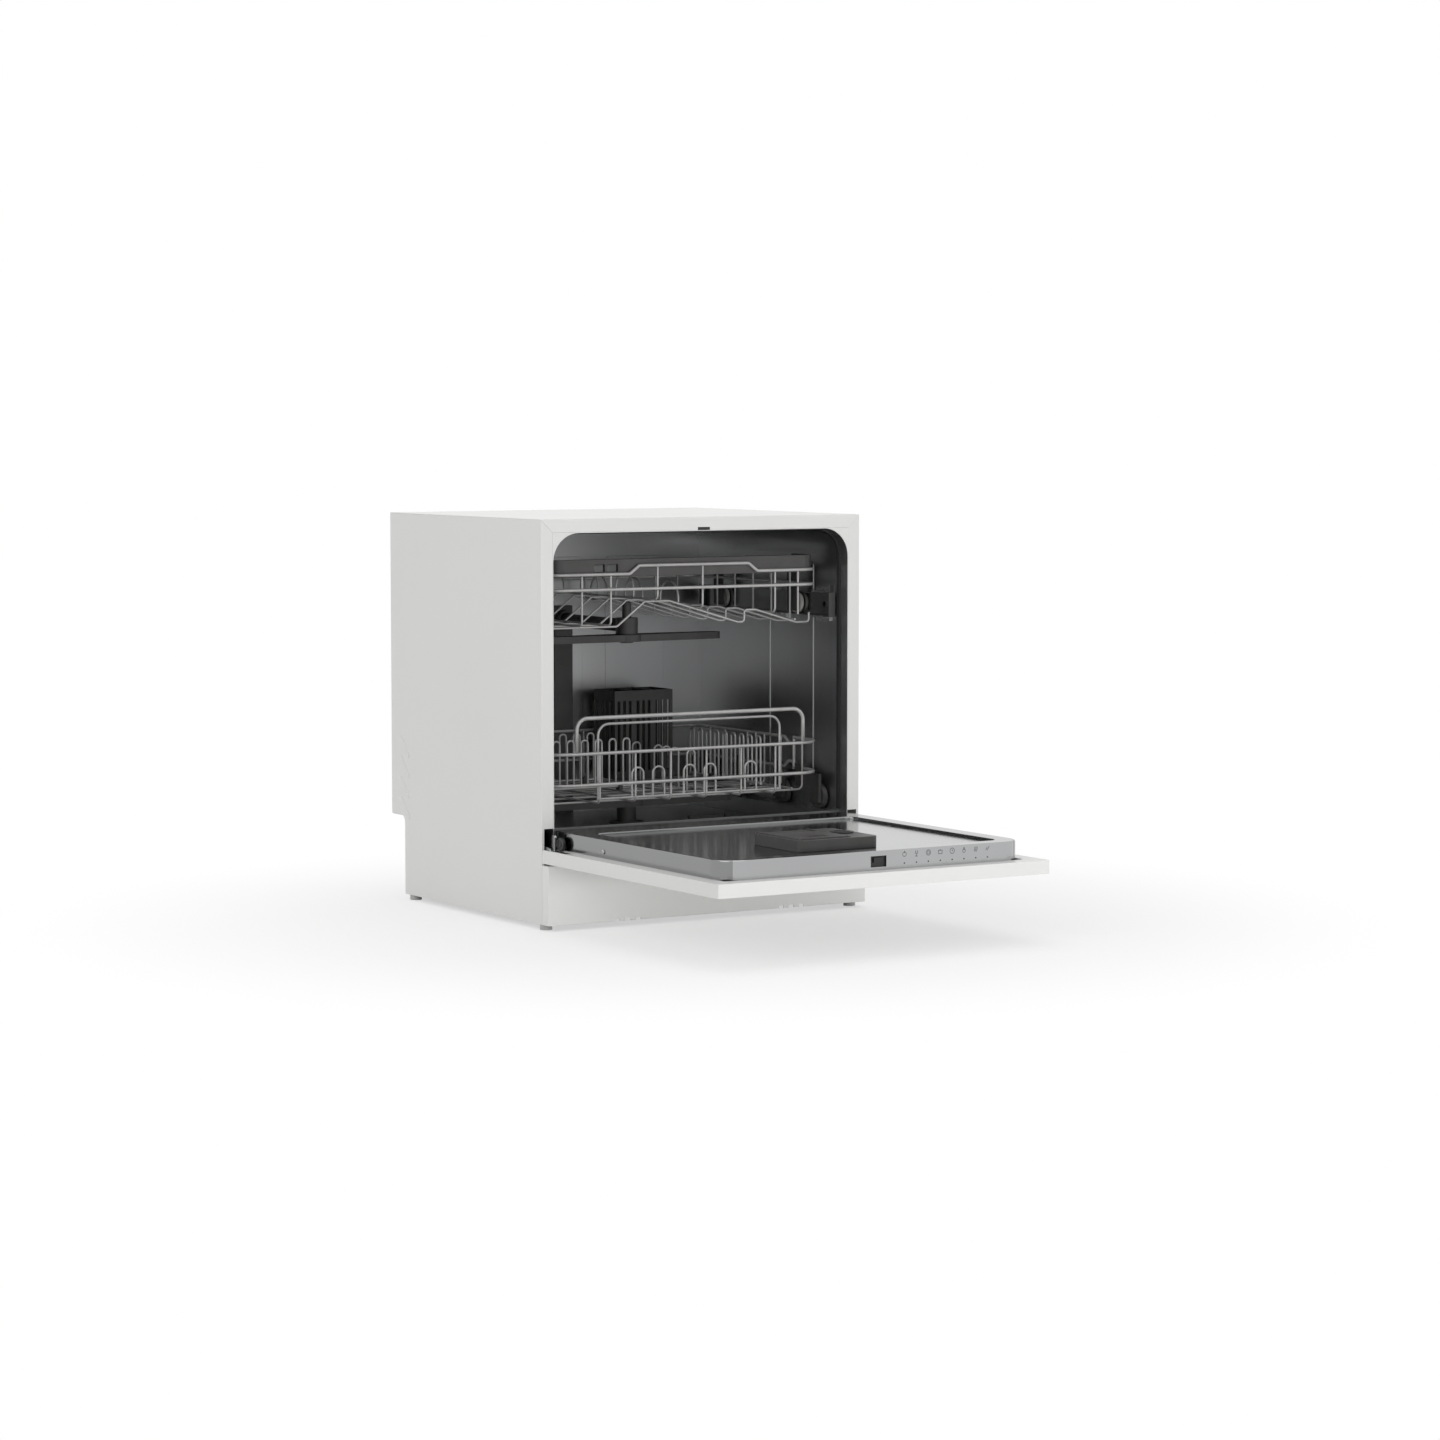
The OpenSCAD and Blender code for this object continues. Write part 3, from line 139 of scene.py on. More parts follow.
def pick_faces(piece, test):
    """Selects the faces whose middle and normal pass the test."""
    bm = bmesh.from_edit_mesh(piece.data)
    bpy.ops.mesh.select_all(action="DESELECT")
    bpy.ops.mesh.select_mode(type="FACE")
    for face in bm.faces:
        face.select_set(test(face.calc_center_median(), face.normal))
    bmesh.update_edit_mesh(piece.data)


def end():
    bpy.ops.object.mode_set(mode="OBJECT")


def settle(piece):
    """Puts the piece's place into its mesh."""
    take(piece)
    bpy.ops.object.transform_apply(location=True, rotation=True, scale=True)
    return piece


def join(name, pieces):
    clear_selection()
    for piece in pieces:
        piece.select_set(True)
    bpy.context.view_layer.objects.active = pieces[0]
    if len(pieces) > 1:
        bpy.ops.object.join()
    joined = bpy.context.object
    joined.name = name
    joined.data.name = name
    return settle(joined)


def copy_to(piece, place):
    """A copy with its own mesh, moved by place."""
    take(piece)
    bpy.ops.object.duplicate(linked=False)
    copy = bpy.context.object
    copy.location = Vector(piece.location) + Vector(place)
    return settle(copy)


def finish_piece(piece, material, body):
    piece.data.materials.clear()
    piece.data.materials.append(material)
    take(piece)
    bpy.ops.object.shade_smooth_by_angle(angle=SMOOTH_ANGLE)
    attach(piece, body)
    return piece


# ---------------------------------------------------------------- finishes


def blank(name, colour, roughness, metallic=0.0, coat=0.0):
    """A new material with its shader's own values set."""
    made = bpy.data.materials.new(name)
    made.use_nodes = True
    shader = made.node_tree.nodes["Principled BSDF"]
    shader.inputs["Base Color"].default_value = (*colour, 1)
    shader.inputs["Roughness"].default_value = roughness
    shader.inputs["Metallic"].default_value = metallic
    shader.inputs["Coat Weight"].default_value = coat
    made.diffuse_color = (*colour, 1)
    return made, made.node_tree, shader


def pattern(tree, scale, stretch=(1, 1, 1), detail=4.0):
    """Noise on the piece's own coordinates, stretched along its axes."""
    place = tree.nodes.new("ShaderNodeTexCoord")
    turn = tree.nodes.new("ShaderNodeMapping")
    turn.inputs["Scale"].default_value = stretch
    noise = tree.nodes.new("ShaderNodeTexNoise")
    noise.inputs["Scale"].default_value = scale
    noise.inputs["Detail"].default_value = detail
    tree.links.new(place.outputs["Object"], turn.inputs["Vector"])
    tree.links.new(turn.outputs["Vector"], noise.inputs["Vector"])
    return noise.outputs["Fac"]


def spread(tree, source, low, high):
    """Maps a pattern from its usual range to low and high."""
    ramp = tree.nodes.new("ShaderNodeMapRange")
    ramp.inputs["From Min"].default_value = 0.3
    ramp.inputs["From Max"].default_value = 0.7
    ramp.inputs["To Min"].default_value = low
    ramp.inputs["To Max"].default_value = high
    tree.links.new(source, ramp.inputs["Value"])
    return ramp.outputs["Result"]


def shade(tree, shader, source, colour, darkest, lightest):
    """Varies the colour between two strengths of itself."""
    mix = tree.nodes.new("ShaderNodeMix")
    mix.data_type = "RGBA"
    mix.inputs["A"].default_value = (*[c * darkest for c in colour], 1)
    mix.inputs["B"].default_value = (*[min(1, c * lightest) for c in colour], 1)
    tree.links.new(spread(tree, source, 0, 1), mix.inputs["Factor"])
    tree.links.new(mix.outputs["Result"], shader.inputs["Base Color"])


def relief(tree, shader, source, strength, depth):
    bump = tree.nodes.new("ShaderNodeBump")
    bump.inputs["Strength"].default_value = strength
    bump.inputs["Distance"].default_value = depth
    tree.links.new(source, bump.inputs["Height"])
    tree.links.new(bump.outputs["Normal"], shader.inputs["Normal"])


def enamel(name, colour):
    """Baked paint: a fine orange peel under a thin clear coat."""
    made, tree, shader = blank(name, colour, 0.34, coat=0.2)
    shader.inputs["Coat Roughness"].default_value = 0.16
    shade(tree, shader, pattern(tree, 3, detail=2), colour, 0.99, 1.008)
    tree.links.new(spread(tree, pattern(tree, 9, detail=2), 0.31, 0.36), shader.inputs["Roughness"])
    relief(tree, shader, pattern(tree, 700, detail=1), 0.05, 0.0001)
    return made


def brushed(name, colour, grain, low=0.24, high=0.42, tone=(0.86, 1.08)):
    """Steel sheet with fine lines along one axis and a few dull patches."""
    made, tree, shader = blank(name, colour, 0.32, metallic=1.0)
    lines = pattern(tree, 120, stretch=grain, detail=4)
    shade(tree, shader, pattern(tree, 4, detail=2), colour, *tone)
    tree.links.new(spread(tree, lines, low, high), shader.inputs["Roughness"])
    relief(tree, shader, lines, 0.03, 0.00005)
    return made


def moulded(name, colour, roughness=0.48, grain=1400, depth=0.00012):
    """Moulded plastic with an eroded grain and slightly uneven gloss."""
    made, tree, shader = blank(name, colour, roughness)
    shade(tree, shader, pattern(tree, 40), colour, 0.9, 1.12)
    tree.links.new(spread(tree, pattern(tree, 22), roughness - 0.07, roughness + 0.08),
                   shader.inputs["Roughness"])
    relief(tree, shader, pattern(tree, grain, detail=3), 0.25, depth)
    return made


def coated(name, colour):
    """Dipped nylon over wire: soft gloss, a little uneven in thickness."""
    made, tree, shader = blank(name, colour, 0.34, metallic=0.35, coat=0.3)
    shader.inputs["Coat Roughness"].default_value = 0.25
    shade(tree, shader, pattern(tree, 60), colour, 0.9, 1.07)
    relief(tree, shader, pattern(tree, 320), 0.15, 0.0002)
    return made


MATERIALS = {}


def toned(colour, strength):
    """A colour at a share of its strength."""
    return tuple(min(1, c * strength) for c in colour)


def make_finishes():
    s = settings()
    white = tuple(s.enamel)
    dark = tuple(s.plastic)
    across = (14, 0.6, 1)  # brushing across the door
    MATERIALS.update(
        enamel=enamel("White enamel", white),
        # the top panel takes a slightly lighter copy of the enamel: painted light where the light falls on
        # the top
        enamel_top=enamel("White enamel top painted lighter", toned(white, 1.02)),
        rear=enamel("Rear sheet coating", toned(white, 0.86)),
        tub=brushed("Tub steel", toned(s.steel, 0.8), (0.6, 1, 14), 0.3, 0.35, (0.97, 1.03)),
        # brighter copy of the liner steel: painted reflection of the white surround on the key strip and
        # the rim
        liner_front=brushed("Liner front steel painted bright", toned(s.steel, 0.76), across, 0.16, 0.22, (0.95, 1.04)),
        # darker copy of the same steel: painted dark reflection of the tub's shaded interior on the liner's
        # field
        liner=brushed("Liner steel painted dark", toned(s.steel, 0.47), across, 0.13, 0.18, (0.95, 1.04)),
        rails=brushed("Rail steel", toned(s.steel, 0.42), (1, 14, 1), 0.16, 0.24),
        hinge=brushed("Hinge steel", toned(s.steel, 0.95), (1, 6, 6), 0.2, 0.32),
        plate=brushed("Filter steel", toned(s.steel, 0.9), (8, 1, 1), 0.25, 0.4),
        wire=coated("Coated wire", tuple(s.wire)),
        # the plinth takes a lighter copy of the enamel: painted light against the shade under the open door
        plinth=enamel("White enamel plinth painted lighter", toned(white, 1.04)),
        plastic=moulded("Grey plastic", dark),
        handle=moulded("Handle plastic", toned(dark, 1.15), 0.42),
        black=moulded("Black plastic", toned(dark, 0.3), 0.4),
        pale=moulded("Pale plastic", (0.58, 0.57, 0.54), 0.4),
        feet=moulded("Foot plastic", (0.46, 0.46, 0.45), 0.5),
        rubber=moulded("Seal rubber", (0.018, 0.018, 0.019), 0.62, 700, 0.0003),
        print=moulded("Key print", (0.055, 0.057, 0.06), 0.5, 2500, 0.00002),
    )


FINISHES = {
    "enamel": ["left_side_panel", "right_side_panel", "front_collar", "door_panel"],
    "plinth": ["plinth"],
    "enamel_top": ["top_panel"],
    "rear": ["rear_panel"],
    "tub": ["tub_shell"],
    "liner": ["door_liner"],
    "rails": ["rails"],
    "hinge": ["hinge_brackets", "hinge_arms", "rail_guides"],
    "plate": ["filter_plate"],
    "wire": [
        "upper_front_wires", "upper_side_wires", "upper_rear_wires", "upper_floor_wires",
        "lower_front_wires", "lower_side_wires", "lower_rear_wires", "lower_floor_wires",
        "plate_guards", "front_tine_rack", "rear_tine_rack", "right_tine_rack"],
    "feet": ["feet"],
    "plastic": [
        "spray_hub", "lower_spray_arm", "feed_duct", "filter_cylinder", "drain_outlet",
        "dispenser_body", "rail_ends", "roller_brackets", "upper_feed_tube", "upper_spray_arm",
        "wheel_clips", "front_wheels", "second_wheels", "third_wheels", "rear_wheels",
        "cutlery_basket"],
    "handle": ["upper_handle", "dispenser_lid"],
    "black": [
        "base_tray", "sump", "circulation_pump", "drain_pump", "cable_gland", "latch_catch",
        "control_unit", "latch_housing", "latch_tongue", "rinse_cap"],
    "pale": ["inlet_valve", "air_break", "front_rollers", "rear_rollers"],
    "rubber": ["tub_seal"],
}


def dress(names, material):
    """Gives the named parts their finish."""
    for name in names:
        node = NODES[name]
        node.data.materials.clear()
        node.data.materials.append(MATERIALS[material])


class DISHWASHER_OT_finishes(bpy.types.Operator):
    """Give every part its enamel, steel, wire coating, plastic or rubber"""

    bl_idname = "dishwasher.finishes"
    bl_label = "Finish the parts"

    def execute(self, context):
        make_finishes()
        for material, names in FINISHES.items():
            dress(names, material)
        return {"FINISHED"}


# ---------------------------------------------------------------- softened sheet and mouldings


def keep_flats(piece):
    """Keeps wide faces flat in the shading beside their rounded edges."""
    modifier = piece.modifiers.new("flats", "WEIGHTED_NORMAL")
    modifier.keep_sharp = True
    modifier.weight = 100
    take(piece)
    bpy.ops.object.modifier_apply(modifier="flats")


def merged_copy(node):
    """A copy of a part's mesh with its loose triangles joined, left in edit mode."""
    mesh = NODES[node].data.copy()
    piece = bpy.data.objects.new(node + "_soft", mesh)
    mesh.name = piece.name
    bpy.context.scene.collection.objects.link(piece)
    take(piece)
    bpy.ops.object.mode_set(mode="EDIT")
    bpy.ops.mesh.select_all(action="SELECT")
    bpy.ops.mesh.remove_doubles(threshold=WELD)
    return piece, mesh


def soften(node, material, width, segments, test):
    """A copy of a part with the edges that pass the test rounded, which stands in for it."""
    piece, mesh = merged_copy(node)
    bpy.ops.mesh.dissolve_limited(angle_limit=math.radians(0.5))
    bpy.ops.mesh.select_all(action="DESELECT")
    bpy.ops.mesh.select_mode(type="EDGE")
    bm = bmesh.from_edit_mesh(mesh)
    for edge in bm.edges:
        if len(edge.link_faces) != 2 or not edge.is_convex:
            continue
        if edge.calc_face_angle() < SHARP_ANGLE:
            continue
        middle = (edge.verts[0].co + edge.verts[1].co) / 2
        edge.select_set(test(middle, edge.link_faces[0].normal, edge.link_faces[1].normal))
    bmesh.update_edit_mesh(mesh)
    bpy.ops.mesh.bevel(offset=width, segments=segments, affect="EDGES", clamp_overlap=True)
    end()
    finish_piece(piece, MATERIALS[material], BODY_OF[node])
    keep_flats(piece)
    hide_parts(node)
    return piece


def on_outline(node):
    """Passes the edges where two outer faces of the part's box meet."""
    low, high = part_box(node)

    def test(middle, first, second):
        hits = [min(abs(middle[i] - low[i]), abs(middle[i] - high[i])) < ON_BOX for i in range(3)]
        return sum(hits) >= 2

    return test


def any_edge(middle, first, second):
    return True


class DISHWASHER_OT_casing(bpy.types.Operator):
    """Round the sheet edges of the casing, the plinth and the door's outer panel"""

    bl_idname = "dishwasher.casing"
    bl_label = "Casing edges"

    def execute(self, context):
        for node, material, width in (
                ("left_side_panel", "enamel", 0.9), ("right_side_panel", "enamel", 0.9),
                ("top_panel", "enamel_top", 0.7), ("plinth", "plinth", 1.2), ("door_panel", "enamel", 1.5)):
            soften(node, material, mm(width), 3, on_outline(node))
        return {"FINISHED"}


class DISHWASHER_OT_tub(bpy.types.Operator):
    """Round the edges of the fields pressed into the tub's walls"""

    bl_idname = "dishwasher.tub"
    bl_label = "Tub fields"

    def execute(self, context):
        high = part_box("tub_shell")[1]
        field = mm(2.2)  # from the outside to the face of the fields
        near = mm(0.05)
        back = high.y - field
        wall = high.x - field
        soften("tub_shell", "tub", mm(1), 2, lambda middle, a, b: (
            abs(middle.y - back) < near or (abs(abs(middle.x) - wall) < near and middle.y > mm(80))))
        return {"FINISHED"}


class DISHWASHER_OT_liner(bpy.types.Operator):
    """Round the pressed rim of the door's steel liner"""

    bl_idname = "dishwasher.liner"
    bl_label = "Liner rim"

    def execute(self, context):
        low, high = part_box("door_liner")
        rim = high.z - mm(0.2)
        piece = soften("door_liner", "liner", mm(2.2), 4, lambda middle, a, b: middle.z > rim)
        # the front strip with the keys and the forward-facing faces of the rounded rim take a brighter copy
        # of the same steel: a painted reflection of the white surround, with a painted highlight along the
        # rim
        piece.data.materials.append(MATERIALS["liner_front"])
        strip = low.y + mm(6)
        for face in piece.data.polygons:
            if face.normal.y < -0.35 and face.center.y < strip:
                face.material_index = 1
        return {"FINISHED"}


class DISHWASHER_OT_mouldings(bpy.types.Operator):
    """Round the edges of the dispenser"""

    bl_idname = "dishwasher.mouldings"
    bl_label = "Moulded edges"

    def execute(self, context):
        soften("dispenser_body", "plastic", mm(0.7), 2, any_edge)
        return {"FINISHED"}


class DISHWASHER_OT_handle(bpy.types.Operator):
    """Mould the handle bar of the upper basket, set behind the rail and round its corners"""

    bl_idname = "dishwasher.handle"
    bl_label = "Handle bar"

    def execute(self, context):
        low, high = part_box("upper_handle")
        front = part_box("upper_front_wires")[0].y + mm(5.2)
        half = high.x - mm(9.5)
        back = high.y
        bpy.ops.mesh.primitive_cube_add(size=1, location=(0, (front + back) / 2, (low.z + high.z) / 2))
        shell = bpy.context.object
        shell.scale = (2 * half, back - front, high.z - low.z)
        settle(shell)
        begin("handle_bar")
        bm = bmesh.from_edit_mesh(shell.data)
        bpy.ops.mesh.select_mode(type="EDGE")
        for edge in bm.edges:
            a, b = (v.co for v in edge.verts)
            edge.select_set(abs(a.z - b.z) > mm(5) and a.y < front + mm(1))
        bmesh.update_edit_mesh(shell.data)
        bpy.ops.mesh.bevel(offset=mm(22), segments=8, affect="EDGES")
        pick_faces(shell, lambda c, n: abs(n.z) > 0.9 or n.y > 0.9)
        bpy.ops.mesh.delete(type="FACE")
        # a pair of finger windows near the left end
        cuts = [((x, 0, 0), (1, 0, 0)) for x in mm(-158, -140.5, -136.5, -118)]
        cuts += [((0, 0, low.z + z), (0, 0, 1)) for z in mm(7.5, 18.5)]
        for place, normal in cuts:
            bpy.ops.mesh.select_all(action="SELECT")
            bpy.ops.mesh.bisect(plane_co=place, plane_no=normal)
        pick_faces(shell, lambda c, n: low.z + mm(8) < c.z < low.z + mm(18) and abs(n.y) > 0.9 and (
            mm(-158) < c.x < mm(-141) or mm(-136) < c.x < mm(-118)))
        bpy.ops.mesh.delete(type="FACE")
        end()
        for kind, name in (("SOLIDIFY", "wall"), ("BEVEL", "round")):
            modifier = shell.modifiers.new(name, kind)
            if kind == "SOLIDIFY":
                modifier.thickness = mm(7)
                modifier.offset = -1
            else:
                modifier.width = mm(0.9)
                modifier.segments = 2
                modifier.limit_method = "ANGLE"
            take(shell)
            bpy.ops.object.modifier_apply(modifier=name)
        finish_piece(shell, MATERIALS["handle"], "upper_basket")
        keep_flats(shell)
        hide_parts("upper_handle")
        return {"FINISHED"}


class DISHWASHER_OT_rollers(bpy.types.Operator):
    """Add the dark rollers beside the hinge arms"""

    bl_idname = "dishwasher.rollers"
    bl_label = "Hinge rollers"

    def execute(self, context):
        x, y, z = mm(258.2, -27, 127)
        wheels = []
        for side in (-1, 1):
            bpy.ops.mesh.primitive_cylinder_add(
                vertices=32, radius=mm(10), depth=mm(3.4), rotation=(0, math.pi / 2, 0),
                location=(side * x, y, z))
            wheel = begin("hinge_roller")
            pick_faces(wheel, lambda c, n: abs(n.z) > 0.9)
            # rounded tread, flat rim, sunk web and raised hub
            for width, rise in ((0.6, 0.5), (2.4, 0), (0.5, -0.9), (3, 0), (0.4, 0.8)):
                bpy.ops.mesh.inset(thickness=mm(width), depth=mm(rise))
            end()
            wheels.append(settle(wheel))
        finish_piece(join("hinge_rollers", wheels), MATERIALS["black"], "door")
        return {"FINISHED"}


# ---------------------------------------------------------------- guards


class DISHWASHER_OT_guards(bpy.types.Operator):
    """Carry the left legs of the two plate guards out to the basket's corner"""

    bl_idname = "dishwasher.guards"
    bl_label = "Plate guards"

    def execute(self, context):
        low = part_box("plate_guards")[0]
        piece, mesh = merged_copy("plate_guards")
        bpy.ops.mesh.select_mode(type="VERT")
        # the front and back of each loop's plane, its leg's right end and how far the leg goes
        for loop in ((-1, 8, -134, -39), (20, 40, -100, -20)):
            front, back, right, shift = mm(*loop)
            bpy.ops.mesh.select_all(action="DESELECT")
            bm = bmesh.from_edit_mesh(mesh)
            for vertex in bm.verts:
                vertex.select_set(front < vertex.co.y - low.y < back and vertex.co.x < right)
            bmesh.update_edit_mesh(mesh)
            bpy.ops.transform.translate(value=(shift, 0, 0))
        end()
        finish_piece(piece, MATERIALS["wire"], "lower_basket")
        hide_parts("plate_guards")
        return {"FINISHED"}


# ---------------------------------------------------------------- vents


class DISHWASHER_OT_vents(bpy.types.Operator):
    """Press a slim hood out of the side sheets over each vent slot"""

    bl_idname = "dishwasher.vents"
    bl_label = "Vent hoods"

    def execute(self, context):
        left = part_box("left_side_panel")[0].x
        r = mm(3)
        pitch = mm(31.5)
        slant = math.radians(-44)
        for name, x in (("left_vent_hoods", left), ("right_vent_hoods", -left)):
            bpy.ops.mesh.primitive_cylinder_add(vertices=20, radius=r, depth=mm(38))
            hood = begin(name)
            for thickness, depth in ((0.16, 0.42), (0.26, 0.3), (0.3, 0.12)):
                pick_faces(hood, lambda c, n: abs(n.z) > 0.95)
                bpy.ops.mesh.inset(thickness=r * thickness, depth=r * depth)
            end()
            hood.scale = (0.6, 1, 1)
            hood.rotation_euler = (slant, 0, 0)
            hood.location = (x, mm(433), mm(142))
            settle(hood)
            copies = [copy_to(hood, (0, 0, pitch * k)) for k in (1, 2, 3)]
            finish_piece(join(name, [hood] + copies), MATERIALS["enamel"], "cabinet")
        return {"FINISHED"}


# ---------------------------------------------------------------- key symbols


def bar(x, z, w, h, turn=0.0):
    """A flat printed stroke on the liner's front wall."""
    low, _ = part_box("door_liner")
    bpy.ops.mesh.primitive_cube_add(size=1, location=(x, low.y, z), rotation=(0, turn, 0))
    piece = bpy.context.object
    piece.scale = (w, mm(0.12), h)
    begin("stroke")
    bpy.ops.mesh.select_all(action="SELECT")
    bpy.ops.mesh.bevel(offset=min(w, h) * 0.2, segments=2, affect="EDGES")
    end()
    return settle(piece)


def ring(x, z, r, line, sides=28):
    """A flat printed ring on the liner's front wall."""
    low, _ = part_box("door_liner")
    bpy.ops.mesh.primitive_torus_add(
        location=(x, low.y, z), rotation=(math.pi / 2, 0, 0), major_segments=sides,
        minor_segments=6, major_radius=r, minor_radius=line / 2)
    piece = bpy.context.object
    piece.scale = (1, 1, 0.12)
    return settle(piece)


def symbol(kind, x, z, h):
    """One generic sign, h high, built from strokes and rings."""
    t = h * 0.09
    if kind == "power":
        return [ring(x, z, h * 0.36, t), bar(x, z + h * 0.36, t * 1.2, h * 0.36)]
    if kind == "glass":
        return [bar(x, z - h * 0.45, h * 0.5, t), bar(x, z - h * 0.22, t, h * 0.4),
                bar(x - h * 0.2, z + h * 0.22, t, h * 0.5, 0.25),
                bar(x + h * 0.2, z + h * 0.22, t, h * 0.5, -0.25),
                bar(x, z, h * 0.34, t)]
    if kind == "plate":
        return [ring(x, z, h * 0.44, t), ring(x, z, h * 0.24, t)]
    if kind == "pot":
        return [bar(x, z - h * 0.34, h * 0.7, t), bar(x - h * 0.35, z - h * 0.08, t, h * 0.5),
                bar(x + h * 0.35, z - h * 0.08, t, h * 0.5), bar(x, z + h * 0.2, h * 0.9, t),
                bar(x, z + h * 0.34, h * 0.22, t)]
    if kind == "clock":
        return [ring(x, z, h * 0.44, t), bar(x, z + h * 0.13, t, h * 0.26),
                bar(x + h * 0.1, z, h * 0.2, t)]
    if kind == "drop":
        return [ring(x, z - h * 0.16, h * 0.26, t), bar(x - h * 0.12, z + h * 0.22, t, h * 0.46, 0.42),
                bar(x + h * 0.12, z + h * 0.22, t, h * 0.46, -0.42)]
    if kind == "heat":
        return [bar(x + dx * h, z, t, h * 0.8, 0.18) for dx in (-0.24, 0, 0.24)]
    return [bar(x - h * 0.2, z - h * 0.05, t, h * 0.6, 0.5), bar(x + h * 0.14, z, t, h * 0.84, 0.5)]


class DISHWASHER_OT_keys(bpy.types.Operator):
    """Print eight generic key symbols with a light below each on the liner's front wall"""

    bl_idname = "dishwasher.keys"
    bl_label = "Key symbols"

    def execute(self, context):
        s = settings()
        low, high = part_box("door_liner")
        z = high.z - mm(7.2)
        lamp_z = high.z - mm(19.5)
        x0 = mm(43.3)
        kinds = ["power", "glass", "plate", "pot", "clock", "drop", "heat", "start"]
        parts = []
        for i, kind in enumerate(kinds):
            parts += symbol(kind, x0 + i * s.key_pitch, z, s.key_height)
        finish_piece(join("key_symbols", parts), MATERIALS["print"], "door")
        lamps = []
        for i in range(len(kinds)):
            bpy.ops.mesh.primitive_cylinder_add(
                vertices=20, radius=s.lamp_d / 2, depth=mm(0.5), rotation=(math.pi / 2, 0, 0),
                location=(x0 + i * s.key_pitch, low.y, lamp_z))
            lamp = begin("lamp")
            pick_faces(lamp, lambda c, n: abs(n.z) > 0.9)
            bpy.ops.mesh.inset(thickness=s.lamp_d * 0.18, depth=0)
            bpy.ops.mesh.bevel(offset=s.lamp_d * 0.05, segments=1, affect="EDGES")
            end()
            lamps.append(settle(lamp))
        finish_piece(join("key_lamps", lamps), MATERIALS["print"], "door")
        return {"FINISHED"}


# ---------------------------------------------------------------- fixings


def screw(name, place, axis, d):
    """A domed screw head with a cross recess, its axis pointing out of the sheet."""
    bpy.ops.mesh.primitive_cylinder_add(vertices=24, radius=d / 2, depth=d * 0.3)
    head = begin(name)
    pick_faces(head, lambda c, n: n.z > 0.9)
    bpy.ops.mesh.inset(thickness=d * 0.1, depth=d * 0.06)
    bpy.ops.mesh.inset(thickness=d * 0.14, depth=d * 0.03)
    bpy.ops.mesh.inset(thickness=d * 0.1, depth=0)
    bpy.ops.mesh.inset(thickness=d * 0.02, depth=-d * 0.12)
    end()
    head.rotation_mode = "QUATERNION"
    head.rotation_quaternion = Vector(axis).to_track_quat("Z", "Y")
    head.location = Vector(place) + Vector(axis) * d * 0.05
    return settle(head)


class DISHWASHER_OT_fixings(bpy.types.Operator):
    """Add the screws of the rear sheet and the liner's side screws"""

    bl_idname = "dishwasher.fixings"
    bl_label = "Screws"

    def execute(self, context):
        d = settings().screw_d
        low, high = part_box("rear_panel")
        inset, top, foot = mm(24, 30, 160)  # from the sheet's side, from its top and above the floor
        first = screw("rear_screws", (low.x + inset, high.y, high.z - top), (0, 1, 0), d)
        width = high.x - low.x - 2 * inset
        height = high.z - top - foot
        spots = [(i / 4, j) for i in range(5) for j in (0, 1)] + [(0, 0.5), (1, 0.5)]
        copies = [copy_to(first, (width * u, 0, -height * v)) for u, v in spots if (u, v) != (0, 0)]
        finish_piece(join("rear_screws", [first] + copies), MATERIALS["hinge"], "cabinet")
        low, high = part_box("door_liner")
        y, z = mm(-137.6, 126.5)
        first = screw("liner_screws", (low.x, y, z), (-1, 0, 0), d * 0.9)
        right = screw("liner_screw_right", (high.x, y, z), (1, 0, 0), d * 0.9)
        finish_piece(join("liner_screws", [first, right]), MATERIALS["hinge"], "door")
        return {"FINISHED"}


# ---------------------------------------------------------------- stage


def area_lamp(name, place, aim, power, width, height):
    data = bpy.data.lights.new(name, "AREA")
    data.energy = power
    data.shape = "RECTANGLE"
    data.size = width
    data.size_y = height
    lamp = bpy.data.objects.new(name, data)
    bpy.context.scene.collection.objects.link(lamp)
    lamp.location = place
    lamp.rotation_euler = (Vector(aim) - Vector(place)).to_track_quat("-Z", "Y").to_euler()
    return lamp


def seen_directly(tree):
    """1 for the rays that the eye, gloss and clear matter send out, and 0 for light."""
    path = tree.nodes.new("ShaderNodeLightPath")
    eye = tree.nodes.new("ShaderNodeMath")
    eye.operation = "MAXIMUM"
    both = tree.nodes.new("ShaderNodeMath")
    both.operation = "MAXIMUM"
    tree.links.new(path.outputs["Is Camera Ray"], eye.inputs[0])
    tree.links.new(path.outputs["Is Glossy Ray"], eye.inputs[1])
    tree.links.new(eye.outputs["Value"], both.inputs[0])
    tree.links.new(path.outputs["Is Transmission Ray"], both.inputs[1])
    return both.outputs["Value"]


